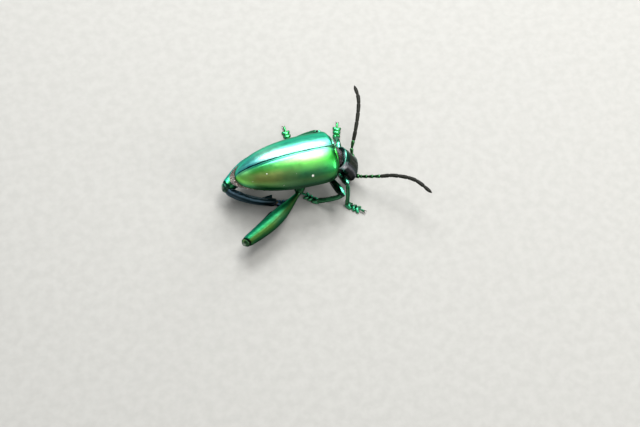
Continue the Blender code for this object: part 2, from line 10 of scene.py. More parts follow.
import bpy
import numpy as np
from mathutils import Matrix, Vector


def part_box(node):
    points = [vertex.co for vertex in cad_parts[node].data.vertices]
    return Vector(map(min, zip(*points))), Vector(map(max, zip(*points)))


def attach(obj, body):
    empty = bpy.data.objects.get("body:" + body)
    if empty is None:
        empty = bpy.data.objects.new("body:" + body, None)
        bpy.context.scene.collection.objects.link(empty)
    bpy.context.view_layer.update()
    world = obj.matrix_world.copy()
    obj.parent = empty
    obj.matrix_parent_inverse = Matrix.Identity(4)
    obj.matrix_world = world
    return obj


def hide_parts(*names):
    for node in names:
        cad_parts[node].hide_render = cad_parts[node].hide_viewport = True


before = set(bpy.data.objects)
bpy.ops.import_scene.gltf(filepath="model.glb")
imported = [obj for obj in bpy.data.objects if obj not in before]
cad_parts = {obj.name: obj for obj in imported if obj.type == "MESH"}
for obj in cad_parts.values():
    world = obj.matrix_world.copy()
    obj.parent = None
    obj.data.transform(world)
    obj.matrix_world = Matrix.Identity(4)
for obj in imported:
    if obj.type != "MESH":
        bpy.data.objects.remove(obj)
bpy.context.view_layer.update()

MM = 0.001

# Body, as the solids have it

EDGE = 6.0  # height of the wing cases' side edges
CASE_LENGTH = 16.9
CASE_HALF_WIDTH = 4.54
CASE_HEIGHT = 4.14
CASE_WALL = 0.32
CASE_WIDEST = 0.28
CASE_SQUARENESS = 2.2
SEAM_HALF = 0.025
SHOULDER_BUMP = 0.26
ABDOMEN_FRONT = -5.85
ABDOMEN_TAIL = -17.75
ABDOMEN_DEPTH = 2.1
ABDOMEN_HALF_WIDTH = 4.12
LAST_PLATE = -16.2
CHEST_FRONT = -0.2
CHEST_BACK = -5.76
SEGMENT_JOINTS = (-9.2, -11.1, -12.9, -14.6)
SHIELD_BASE = (0.85, -0.55, EDGE - 0.3)
SHIELD_YAW = -18.0
SHIELD_PITCH = -52.0
SHIELD_LENGTH = 4.0
SHIELD_HALF_WIDTH = 2.05
HEAD_BASE = (2.72, -1.18, 3.05)
HEAD_YAW = -18.0
HEAD_PITCH = -86.0
HEAD_LENGTH = 2.35
HEAD_HALF_WIDTH = 1.32
EYE_RADIUS = 0.56

# Feelers: the lengths of their eleven joints, and the way each feeler runs

FEELER_JOINTS = (1.15, 0.5, 1.0, 1.1, 1.25, 1.45, 1.5, 1.5, 1.5, 1.5, 1.75)
BRIGHT_JOINTS = 5
FEELER_ROUTES = {
    "left": (
        (3.6, -0.85, 1.75), (4.25, 0.1, 1.7), (4.2, 1.3, 2.15), (4.1, 2.1, 3.3), (5.15, 4.15, 5.0),
        (6.4, 6.9, 6.0), (7.3, 9.6, 6.45), (7.4, 12.2, 6.5),
    ),
    "right": (
        (3.3, -1.85, 1.8), (4.2, -2.75, 2.3), (6.8, -4.5, 4.2), (9.0, -5.5, 5.2), (11.7, -7.5, 6.0),
        (13.6, -10.6, 6.2),
    ),
}

# Legs: length, half thickness and half depth, then each leg's headings in degrees

FOOT_HEIGHT = 0.62
LEG_SIZES = {
    "fore": {"femur": (3.8, 0.52, 0.62), "tibia": (4.1, 0.32, 0.4), "tarsus": 3.3, "foot": 0.56},
    "mid": {"femur": (5.1, 0.55, 0.68), "tibia": (5.4, 0.33, 0.42), "tarsus": 3.4, "foot": 0.55},
    "hind": {"femur": (13.5, 1.26, 1.55), "tibia": (9.2, 0.54, 0.62), "tarsus": 2.9, "foot": 0.54},
}
LEG_POSES = {
    "fore_left": {"femur": (73.5, 16.5), "tibia": 73.5, "tarsus": 70.0},
    "fore_right": {"femur": (-81.5, 28.0), "tibia": -98.0, "tarsus": -40.0},
    "mid_left": {"femur": (81.5, 7.0), "tibia": 170.5, "tarsus": 92.0},
    "mid_right": {"femur": (-77.2, 15.5), "tibia": 151.5, "tarsus": 135.0},
    "hind_left": {"femur": (-160.5, 3.7), "tibia": -19.0, "tarsus": -11.0},
    "hind_right": {"femur": (-147.4, 3.8), "tibia": 39.8, "tarsus": 9.0},
}
COXA_RADIUS = 0.62
HIND_COXA_RADIUS = 0.95
HIND_FEMUR_BOWS = {"left": 1.45, "right": 0.52}
HIND_TIBIA_BOW = 0.6
TIBIA_BOW = 0.18
FORE_COXA = (2.55, 0.72, -1.0)  # from the neck shield's base: along it, to its side and out of its back
FORE_HIP = (2.5, 0.8, -1.85)
MID_COXA = (-1.2, 1.35, 3.35)
HIND_COXA = (-6.2, 1.95, 3.75)
MID_HIP = (-1.2, 1.7, 2.9)
HIND_HIPS = {"left": (-5.9, 4.1, 2.8), "right": (-6.7, -3.4, 2.65)}

# Dust on the wing cases: the side, the shares along and around the case, and the radius

DUST = (
    (-1, 0.294, 0.643, 0.21), (-1, 0.724, 0.367, 0.1), (-1, 0.58, 0.8, 0.05), (-1, 0.45, 0.5, 0.04),
    (-1, 0.86, 0.6, 0.05), (1, 0.38, 0.7, 0.05), (1, 0.66, 0.55, 0.06), (1, 0.82, 0.35, 0.04),
)

UP = np.array((0.0, 0.0, 1.0))
LEFT = np.array((0.0, 1.0, 0.0))

case_left, case_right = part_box("wing_case_left"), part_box("wing_case_right")
BODY = np.array((case_left[1].x, (case_left[0].y + case_right[1].y) / 2, case_left[0].z - EDGE * MM))


def placed(points):
    """Millimetres in the beetle's frame, as metres in the scene."""
    return BODY + np.asarray(points, float) * MM


# Curves and profiles


def unit(vector):
    return vector / np.linalg.norm(vector)


def heading(yaw, rise=0.0):
    yaw, rise = math.radians(yaw), math.radians(rise)
    return np.array((math.cos(rise) * math.cos(yaw), math.cos(rise) * math.sin(yaw), math.sin(rise)))


def turned(yaw, pitch):
    """The forward, left and upward directions of a turned piece."""
    forward, left = heading(yaw, pitch), heading(yaw + 90)
    return forward, left, np.cross(forward, left)


def eased(count, start=0.0, end=1.0):
    """Places that crowd towards both ends."""
    return start + (end - start) * (1 - np.cos(np.pi * np.linspace(0, 1, count))) / 2


def bell(value, middle, width):
    return np.exp(-(((value - middle) / width) ** 2))


def swells(value, *bells):
    """A sum of bells, each given as its height, middle and width."""
    return sum(height * bell(value, middle, width) for height, middle, width in bells)


def dome(fall, least=0.0):
    """1 where fall is 0, rounding down to the root of least as fall nears 1."""
    return np.sqrt(np.clip(1 - fall, least, 1))


def step(value, low, high):
    share = np.clip((value - low) / (high - low), 0, 1)
    return share * share * (3 - 2 * share)


def through(rows, places):
    """Smooth curves through rows of (place, value, ...), read at the given places: one column a value."""
    rows = np.array(rows, float)
    at, values = rows[:, 0], rows[:, 1:]
    slopes = np.gradient(values, at, axis=0)
    i = np.clip(np.searchsorted(at, places) - 1, 0, len(at) - 2)
    gap = (at[i + 1] - at[i])[:, None]
    t = np.clip((places[:, None] - at[i][:, None]) / gap, 0, 1)
    rise = 3 * t**2 - 2 * t**3
    bend = (t**3 - 2 * t**2 + t) * slopes[i] + (t**3 - t**2) * slopes[i + 1]
    return ((1 - rise) * values[i] + rise * values[i + 1] + bend * gap).T


def smooth_route(points, steps=40):
    """A Catmull-Rom curve through points."""
    points = np.array(points, float)
    ends = np.vstack([2 * points[0] - points[1], points, 2 * points[-1] - points[-2]])
    t = (np.arange(steps) / steps)[:, None]
    route = []
    for a, b, c, d in zip(ends, ends[1:], ends[2:], ends[3:]):
        bend = (2 * a - 5 * b + 4 * c - d) * t**2 + (3 * b - a - 3 * c + d) * t**3
        route.append(0.5 * (2 * b + (c - a) * t + bend))
    return np.vstack([*route, points[-1:]])


# Skins: each is (points, faces, the place along and around of each face corner)


def angles(sides):
    return 2 * np.pi * (np.arange(sides) + 0.5) / sides


def signed_power(value, power):
    return np.sign(value) * np.abs(value) ** power


def ovals(centres, across, over, half_width, top, bottom, sides, power=1.0, tuck=0.0):
    """Rings round a row of centres, whose upper and lower halves can differ."""
    turn = angles(sides)
    narrow = 1 - tuck * np.clip(-np.sin(turn), 0, None)
    side = signed_power(np.cos(turn), power) * narrow * np.reshape(half_width, (-1, 1))
    depth = np.where(np.sin(turn) > 0, np.reshape(top, (-1, 1)), np.reshape(bottom, (-1, 1)))
    lift = signed_power(np.sin(turn), power) * depth
    across, over = (np.reshape(direction, (-1, 1, 3)) for direction in (across, over))
    return np.reshape(centres, (-1, 1, 3)) + across * side[..., None] + over * lift[..., None]


def pushed(rings, amount):
    """Moves each point away from its ring's centre by an amount for each row and side."""
    centres = rings.mean(axis=1, keepdims=True)
    spokes = rings - centres
    reach = np.linalg.norm(spokes, axis=2, keepdims=True)
    return centres + spokes * (1 + np.asarray(amount)[..., None] / np.maximum(reach, 1e-6))


def skin(rings, around=None, folded=False):
    """A closed skin through rings. A folded ring is a wall's outer side and then its inner side."""
    rows, sides = rings.shape[:2]
    around = np.linspace(0, 1, sides + 1) if around is None else around
    along = np.linspace(0, 1, rows)

    def faces(*corners):
        places = [np.stack([along[i], around[j]], axis=-1) for i, j in corners]
        return np.stack([i * sides + j % sides for i, j in corners], axis=1), np.stack(places, axis=1)

    i, j = (grid.ravel() for grid in np.meshgrid(np.arange(rows - 1), np.arange(sides), indexing="ij"))
    points = rings.reshape(-1, 3)
    made = [faces((i, j), (i, j + 1), (i + 1, j + 1), (i + 1, j))]
    for row, turn in ((0, -1), (rows - 1, 1)):
        j = np.arange(sides // 2 - 1 if folded else sides)
        i = np.full_like(j, row)
        if folded:
            cap = faces((i, j), (i, j + 1), (i, sides - 2 - j), (i, sides - 1 - j))
        else:
            cap = faces((i, j), (i, j + 1), (i, j))
            cap[0][:, 2] = len(points)
            points = np.vstack([points, rings[row].mean(axis=0)])
        made.append([part[:, ::turn] for part in cap])
    centre = points.mean(axis=0)
    volume = 0.0
    for indices, _ in made:
        a, b, c, d = (points[indices[:, k]] - centre for k in (0, 1, 2, -1))
        volume += (a * (np.cross(b, c) + np.cross(c, d))).sum()
    if volume < 0:
        made = [[part[:, ::-1] for part in pair] for pair in made]
    return points, made


def mesh_of(name, material, skins):
    faces, places, start = [], [], 0
    for points, made in skins:
        for indices, spots in made:
            faces += (indices + start).tolist()
            places.append(spots.reshape(-1, 2))
        start += len(points)
    mesh = bpy.data.meshes.new(name)
    mesh.from_pydata(placed(np.vstack([points for points, _ in skins])).tolist(), [], faces)
    mesh.uv_layers.new(name="Shell").data.foreach_set("uv", np.vstack(places).ravel())
    mesh.materials.append(material)
    mesh.shade_smooth()
    return mesh


def piece(name, material, skins, nodes=()):
    """One object of the beetle from its skins, standing for the named solids."""
    settled(name, mesh_of(name, material, skins), nodes)


def linked(name, data):
    thing = bpy.data.objects.new(name, data)
    bpy.context.scene.collection.objects.link(thing)
    return thing


def settled(name, mesh, nodes=()):
    """Puts a finished mesh on the beetle."""
    thing = linked(name, mesh)
    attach(thing, "root")
    if nodes:
        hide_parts(*nodes)


# Materials


def colour(code):
    """An sRGB hex colour as the linear values that shaders take."""
    channels = [int(code[i : i + 2], 16) / 255 for i in (0, 2, 4)]
    return (*(c / 12.92 if c <= 0.04045 else ((c + 0.055) / 1.055) ** 2.4 for c in channels), 1.0)


def add(tree, kind, inputs=None, settings=None):
    """Adds a node. A kind without Node in it is one of the shader nodes.

    Inputs are values, or the nodes and sockets linked to them. Settings are the node's properties; the stops
    of a ramp are each a place, in hundredths of the way along it, and a colour.
    """
    node = tree.nodes.new(kind if "Node" in kind else "ShaderNode" + kind)
    for name, value in (settings or {}).items():
        if name == "stops":
            stops = [(float(place) / 100, code) for place, code in map(str.split, value.split(", "))]
            for place, _ in stops[1:-1]:
                node.color_ramp.elements.new(place)
            for element, (place, code) in zip(node.color_ramp.elements, stops):
                element.position, element.color = place, colour(code)
        else:
            setattr(node, name, value)
    for name, value in (inputs or {}).items():
        if isinstance(value, bpy.types.Node):
            value = value.outputs[0]
        if isinstance(value, bpy.types.NodeSocket):
            tree.links.new(value, node.inputs[name])
        else:
            node.inputs[name].default_value = value
    return node


PLUS, MINUS, TIMES, TIMES_PLUS = (
    {"operation": name} for name in ("ADD", "SUBTRACT", "MULTIPLY", "MULTIPLY_ADD")
)


def sized(place, size, **more):
    """The inputs of a pattern that repeats every so many millimetres."""
    return {"Vector": place, "Scale": 1 / (size * MM), **more}


def blank(name):
    """An empty material, a way to add nodes to it, and where on the piece they are."""
    material = bpy.data.materials.new(name)
    material.use_nodes = True
    material.node_tree.nodes.clear()
    new = partial(add, material.node_tree)
    return material, new, new("TexCoord").outputs["Object"]


def chitin(name, ramp, tint, blotch, blotch_share, settings, pits=0.13, relief=0.006, ripple=0.9, further=()):
    """Polished cuticle, whose colour comes from thin layers and so shifts over the body; its ramps and tint
    also paint highlights and shade where the lights fall.

    ramp runs round the piece, and passes into each further ramp between two places along it. tint runs
    along it. blotch clouds over both in patches. pits and ripple are sizes in millimetres, and the pits,
    too fine in life to see at this size, are drawn as coarse as they need to be to show.
    """
    material, new, place = blank(name)
    spots = new("SeparateXYZ", {0: new("UVMap", settings={"uv_map": "Shell"})})
    cloud = new("TexNoise", sized(place, 2.6, Detail=3.0))
    drift = new("Math", {0: cloud, 1: 0.12, 2: -0.06}, TIMES_PLUS)
    at = [new("Math", {0: spots.outputs[k], 1: drift}, PLUS) for k in (0, 1)]
    mix = {"data_type": "RGBA"}
    base = new("ValToRGB", {0: at[1]}, {"stops": ramp}).outputs[0]
    for start, end, stops in further:
        share = new("MapRange", {0: at[0], 1: start, 2: end}, {"interpolation_type": "SMOOTHSTEP"})
        next_ramp = new("ValToRGB", {0: at[1]}, {"stops": stops})
        base = new("Mix", {0: share, 6: base, 7: next_ramp}, mix).outputs[2]
    shade = new("ValToRGB", {0: at[0]}, {"stops": tint})
    tinted = new("Mix", {0: 1.0, 6: base, 7: shade}, {**mix, "blend_type": "MULTIPLY"})
    patches = new("TexNoise", sized(place, 5.5, Detail=2.0))
    where = new("MapRange", {0: patches, 1: 0.5, 2: 0.72, 3: 0.0, 4: blotch_share})
    painted = new("Mix", {0: where, 6: tinted.outputs[2], 7: colour(blotch)}, mix)
    wear = new("TexNoise", sized(place, 0.7, Detail=4.0))
    gloss = settings["Roughness"]
    rough = new("MapRange", {0: wear, 1: 0.3, 2: 0.7, 3: gloss - 0.05, 4: gloss + 0.07})
    dots = new("TexVoronoi", sized(place, pits))
    sunk = new("MapRange", {0: dots, 1: 0.0, 2: 0.38, 3: 0.0, 4: 1.0})
    waves = new("TexNoise", sized(place, ripple, Detail=2.0))
    height = new("Math", {0: waves, 1: 1.6, 2: sunk}, TIMES_PLUS)
    bump = new("Bump", {"Height": height, "Distance": relief * MM, "Strength": 0.5})
    inputs = {**settings, "Base Color": painted.outputs[2], "Roughness": rough, "Normal": bump}
    new("OutputMaterial", {"Surface": new("BsdfPrincipled", inputs)})
    return material


def plain(name, light, dark, grain, settings, relief=0.01):
    """A finish that mottles between two colours, with a grain of a size in millimetres."""
    material, new, place = blank(name)
    mottle = new("TexNoise", sized(place, grain, Detail=4.0))
    tone = new("ValToRGB", {0: mottle}, {"stops": "35 %s, 65 %s" % (dark, light)})
    bump = new("Bump", {"Height": mottle, "Distance": relief * MM, "Strength": 0.6})
    inputs = {**settings, "Base Color": tone, "Normal": bump}
    new("OutputMaterial", {"Surface": new("BsdfPrincipled", inputs)})
    return material


POLISHED = {
    "Metallic": 1.0, "Roughness": 0.24, "Specular Tint": (0.08, 0.4, 0.36, 1.0), "Coat Weight": 0.35,
    "Coat Roughness": 0.12,
}
SATIN = {**POLISHED, "Roughness": 0.34, "Coat Weight": 0.25, "Coat Roughness": 0.24}
HORN = {"Roughness": 0.32, "IOR": 1.56, "Coat Weight": 0.4, "Coat Roughness": 0.15}

# Structural green cuticle of the wing cases: a satin metallic glow, teal on the beetle's left. Its ramps also
# paint light: a pale painted highlight along the seam, strongest at the front and again past the middle, and
# painted shade down the lower flank and in the groove behind the front rim.
case_left_finish = chitin(
    "green structural cuticle, teal side",
    "0 70A8A0, 1 98DCD0, 4 98F0DC, 14 90F4D4, 27 54DCB4, 42 44E8B8, 62 28B080, 85 187858, 100 0C3C2C",
    "0 B8F0C8, 6 FFFFF4, 8 B0F0C0, 9.1 0C2418, 10.1 0C2018, 11.4 5098A0, "
    "13.5 98D8C8, 17 F0FFF8, 30 FFFFFF, 84 F0FFF8, 100 88C4A8",
    "28C0A0", 0.3, SATIN,
    further=(
        (0.45, 0.66, "0 2C787C, 2 B4F8EC, 8 BCFFF2, 22 B8FFE4, 42 88FFD4, 70 34BC88, 100 0C3C2C"),
        (0.62, 0.74, "0 0C4458, 2 50B4BC, 12 64D0CC, 34 58E4CC, 60 3CB898, 100 185040"),
    ),
)
# The same cuticle seen from its other side: grass green that turns golden brown towards the tail. Its ramps
# also
# paint light: a pale painted highlight along the seam at the front, bright painted highlights low on the front
# shoulder and over the tail end, and painted shade down the lower flank and in the groove behind the front rim.
case_right_finish = chitin(
    "green structural cuticle, golden side",
    "0 70A490, 1 80D0B0, 5 78E8AC, 14 60E074, 30 48D054, "
    "48 48D870, 58 48D880, 70 489050, 85 2C5C38, 100 143420",
    "0 B0E8B0, 6 F0FFD8, 8 A0E0A0, 9.1 102818, 10.1 0C2014, 11.4 549890, 13.5 80B898, "
    "17 E0F4D8, 30 FFFFFF, 66 FFFFFF, 84 F4FFF0, 94 B8E0C0, 100 708888",
    "409838", 0.3, SATIN,
    further=(
        (
            0.18, 0.34,
            "0 2C7878, 1 50B498, 5 80ECA8, 14 90F080, 28 7CE064, "
            "40 60BC5C, 54 489860, 72 40683C, 90 204C30, 100 143020",
        ),
        (
            0.42, 0.5,
            "0 2C7878, 1 50B498, 5 74E0B0, 14 80E070, 25 54B050, "
            "40 5C8C48, 55 6C9C5C, 72 50784C, 90 204C30, 100 143020",
        ),
        (
            0.48, 0.66,
            "0 1C5C58, 3 30A890, 10 44B868, 25 60BC4C, 40 B8CC70, "
            "55 A8B45C, 72 6C9C54, 88 387048, 100 143020",
        ),
        (
            0.72, 0.86,
            "0 1C5C60, 3 84ECBC, 12 9CFFB0, 30 A8FF84, 50 A8F478, 72 8CD874, 90 50A078, 100 204838",
        ),
    ),
)
# Black-green cuticle of the neck shield and head, polished and finely pitted. Its thin hind rim carries a
# painted highlight, teal on the left and pale grey on the right, with painted shade behind it where it meets
# the collar, and a painted grey highlight runs along the ridge of the right side.
shield_finish = chitin(
    "black-green polished cuticle",
    "0 48A088, 14 54B89C, 30 64C8A8, 36 4C8C7C, 41 DCE0E4, 55 C8CCD0, 64 4C6860, 100 48A088",
    "0 30343A, 6 404850, 8.2 FFFFFF, 40 FFFFFF, 70 E0E0E0, 100 B0B0B0", "202424", 0.35,
    {**POLISHED, "Roughness": 0.27}, pits=0.2, relief=0.02,
    further=(
        (
            0.118, 0.15,
            "0 0C3028, 20 145440, 30 0C4434, 34 6C7478, 39 D4D6DE, 43 8C8C98, 47.5 24262A, 100 0C2822",
        ),
        (
            0.24, 0.36,
            "0 24241C, 25 302C22, 30 302C24, 34 585862, 37 78767E, 40 2C2C32, 44 121214, 100 1C1C18",
        ),
    ),
)
# Leathery collar: dull and finely creased, its brown-black partly its own colour and partly painted shade,
# so that it reads as a dark gap between two polished parts.
collar_finish = chitin(
    "brown-black leathery cuticle", "0 1C1812, 25 342A22, 50 241E18, 100 1C1812", "0 FFFFFF, 100 A0A0A0",
    "54443C", 0.8, {"Metallic": 0.4, "Roughness": 0.36}, pits=0.12, relief=0.05,
)
# Belly, hips and the small back shield: a bronze-green, deeper than the wing cases, whose fine wrinkles
# break up the shine.
belly_finish = chitin(
    "bronze-green cuticle with fine wrinkles", "0 155A38, 50 1E7048, 100 155A38",
    "0 FFFFFF, 50 E8E0C0, 100 A0B0A0", "3A5A28", 0.5, {**POLISHED, "Roughness": 0.33}, pits=0.14,
    relief=0.03,
)
# The abdomen is the same but duller, down to its last plate, whose thin rim is pale tan, partly its own colour
# and partly a painted highlight along the edge, and whose back, under the wing cases, is painted dark as shade.
abdomen_finish = chitin(
    "bronze-green cuticle with a tan tail rim", "0 155A38, 50 1E7048, 100 155A38",
    "0 FFFFFF, 50 E8E0C0, 80 C0C8C0, 100 FFFFFF", "3A5A28", 0.5, {**SATIN, "Roughness": 0.42}, pits=0.14,
    relief=0.05,
    further=(
        (
            0.62, 0.74,
            "0 C09C88, 3 144030, 58 144030, 61.5 CCA894, 66 D4B4A0, 69 4C3C30, 96 4C3C30, 100 C09C88",
        ),
    ),
)
# Fore and middle thighs: bottle green that is almost black but for a bright mint sickle on the upper side,
# a painted highlight.
leg_finish = chitin(
    "bottle-green leg cuticle",
    "0 0A3024, 10 0E4030, 16 38C890, 24 80FFD4, 36 60F4BC, 43 105038, 50 08281C, 75 061C14, 100 0A3024",
    "0 505850, 20 A0A8A0, 50 FFFFFF, 90 FFFFFF, 100 707870", "184838", 0.25,
    {**POLISHED, "Roughness": 0.2, "Coat Weight": 0.7}, pits=0.13,
)
# Their shins are duller: a painted mid-green highlight along the top, between edges painted dark as shade.
slim_shin_finish = chitin(
    "dull green shin cuticle",
    "0 68C890, 10 58B47C, 20 103C2C, 30 38B888, 42 5CE8A8, "
    "52 34A870, 60 0C3424, 85 0C3424, 94 347850, 100 68C890",
    "0 889088, 30 E0E0E0, 100 B0B8A8", "303C24", 0.4, {**POLISHED, "Roughness": 0.32}, pits=0.12,
)


def thigh_cuticle(name, ramp, knee):
    """Green thigh cuticle of a soft shine, with painted shade in the groove before the lobes of the knee and a
    painted pale highlight on the tip.
    """
    tint = "0 606868, 14 B0BCB0, 22 F8FFE8, 40 E0F4D8, 78 E0F8F0, 82.2 FFFFF0, "
    tint += "83.6 101814, 85.2 101814, 86.6 FFFFFF, 100 E0E0E0"
    tip = "0 74887C, 30 B4C0B0, 50 44584C, 100 74887C"
    settings = {**SATIN, "Roughness": 0.44, "Coat Weight": 0.1}
    further = ((0.845, 0.858, knee), (0.9, 0.94, tip))
    return chitin(name, ramp, tint, "1C6854", 0.3, settings, pits=0.18, further=further)


# The right thigh is teal on its upper side, with a soft golden crest that is a painted highlight along the
# ridge, and deep green below, a painted shade.
thigh_right_finish = thigh_cuticle(
    "green-teal thigh cuticle with a golden crest",
    "0 1C5C68, 3 2CA494, 8 2CAC84, 15 18744C, 20 206438, 25 506C30, "
    "31 406430, 37 1C5430, 44 123C24, 50 0C3020, 75 083028, 100 1C5C68",
    "0 3C7048, 9 88A868, 15 2C5030, 30 3C6440, 42 1C3824, 60 2C7858, 100 3C7048",
)
# The left thigh shows its outer face: blue-teal at the crest and bright green inside, that brightness partly a
# painted highlight, with a dark knee that carries a painted mint highlight.
thigh_left_finish = thigh_cuticle(
    "blue-teal thigh cuticle",
    "0 0C3C48, 20 186878, 27 30C8C8, 34 4CF4DC, 44 60F8A0, 54 48B060, 64 185838, 75 083028, 100 0C3C48",
    "0 1C2C24, 20 2C5C48, 27 B0FFD8, 34 2C5848, 50 203428, 70 38221E, 100 1C2C24",
)
# Hind shins: steely blue-black with a green cast and a softer shine, and a painted steel-blue highlight along
# the upper side, broken up by lighter patches.
shin_finish = chitin(
    "blue-black shin cuticle", "0 243844, 25 2C404C, 42 283C44, 52 4C6878, 62 3C5460, 72 142028, 100 243844",
    "0 A0C0CC, 20 FFFFFF, 50 C0C8C4, 85 98A8A8, 100 B0D0FF", "4C6474", 0.5, {**POLISHED, "Roughness": 0.34},
    pits=0.2, relief=0.05, ripple=0.35,
)
# Feet: green lobes, painted bright along the top where the light falls, with a dark margin down the sides and
# below that is partly their own dark hairs and partly painted shade.
foot_finish = chitin(
    "green foot-joint cuticle",
    "0 206C48, 10 38BC78, 25 48CC6C, 38 2C9458, 50 203C2C, 75 28281C, 100 206C48",
    "0 B0C0B0, 50 FFFFFF, 100 C0C8A8", "46582E", 0.35, {**POLISHED, "Roughness": 0.3}, pits=0.1,
)
# Hind feet: the same lobes, blue-black with a painted steel-blue highlight along the top.
hind_foot_finish = chitin(
    "blue-black foot-joint cuticle", "0 1C2C3C, 12 4C6C90, 25 6084A8, 38 384C64, 50 141C24, 100 1C2C3C",
    "0 A0B0C0, 50 FFFFFF, 100 A0A0A8", "243038", 0.4, {**POLISHED, "Roughness": 0.3}, pits=0.1,
)
# Inner feeler joints: small polished green beads, each with a painted highlight near its end.
bead_finish = chitin(
    "bottle-green feeler cuticle", "0 34704C, 50 58A060, 100 34704C",
    "0 808878, 50 E0E8C8, 85 FFFFF0, 100 808870", "2C4C28", 0.4, POLISHED, pits=0.1,
)
# Matt black outer feeler joints: a bloom of sensory hairs too fine to see dulls them to soot grey.
feeler_finish = plain(
    "matt sooty cuticle", "26271D", "10110B", 0.12, {"Roughness": 0.6, "Specular IOR Level": 0.25},
)
# Horn of the claws and jaws: dark brown and polished, with none of the green metal.
claw_finish = plain("red-brown horn", "4A2A16", "2A160C", 0.3, HORN)
jaw_finish = plain("dark brown horn", "2E1C12", "160E0A", 0.4, HORN)
# Skin in the bends: matt tan brown, paler than the cuticle beside it.
membrane_finish = plain("brown joint skin", "7C6848", "42341F", 0.15, {"Roughness": 0.55})
# Bristles: nearly black, a soft dark edge along shins and lips.
bristle_finish = plain("brown-black bristles", "3A3024", "1A1610", 0.3, {"Roughness": 0.5})
# Pad hairs: a golden velvety rim below each foot joint.
felt_finish = plain(
    "golden-brown pad hairs", "A8855A", "6A5238", 0.3, {"Roughness": 0.7, "Sheen Weight": 0.4},
)
# Down: a grey frosting that softens the collar, the breast and the tail.
down_finish = plain("grey down", "A8A6B2", "5C5A68", 0.5, {"Roughness": 0.6, "Sheen Weight": 0.3})
# Dried debris: pale crumbs that dull the tail.
debris_finish = plain("dried debris", "F6EEE6", "3C2C22", 0.2, {"Roughness": 0.8})
# Pollen dust: chalk-white flecks, matt against the gloss of the wing cases.
dust_finish = plain("white pollen dust", "FFFFFA", "D8D4C4", 0.2, {"Roughness": 0.85})


def facet_material():
    """Black cornea whose close-set facets give a fine sparkle.

    Each is 0.03 mm wide in life and drawn at 0.06 so that it shows.
    """
    material, new, place = blank("black faceted cornea")
    cells = new("TexVoronoi", sized(place, 0.06, Randomness=0.15))
    domed = new("Math", {0: cells, 1: -1.0, 2: 1.0}, TIMES_PLUS)
    bump = new("Bump", {"Height": domed, "Distance": 0.012 * MM, "Strength": 0.7})
    tone = new("ValToRGB", {0: cells}, {"stops": "10 1E1814, 60 0A0807"})
    inputs = {"Base Color": tone, "Normal": bump, "Roughness": 0.18, "IOR": 1.5, "Coat Weight": 1.0}
    new("OutputMaterial", {"Surface": new("BsdfPrincipled", inputs)})
    return material


# Coats


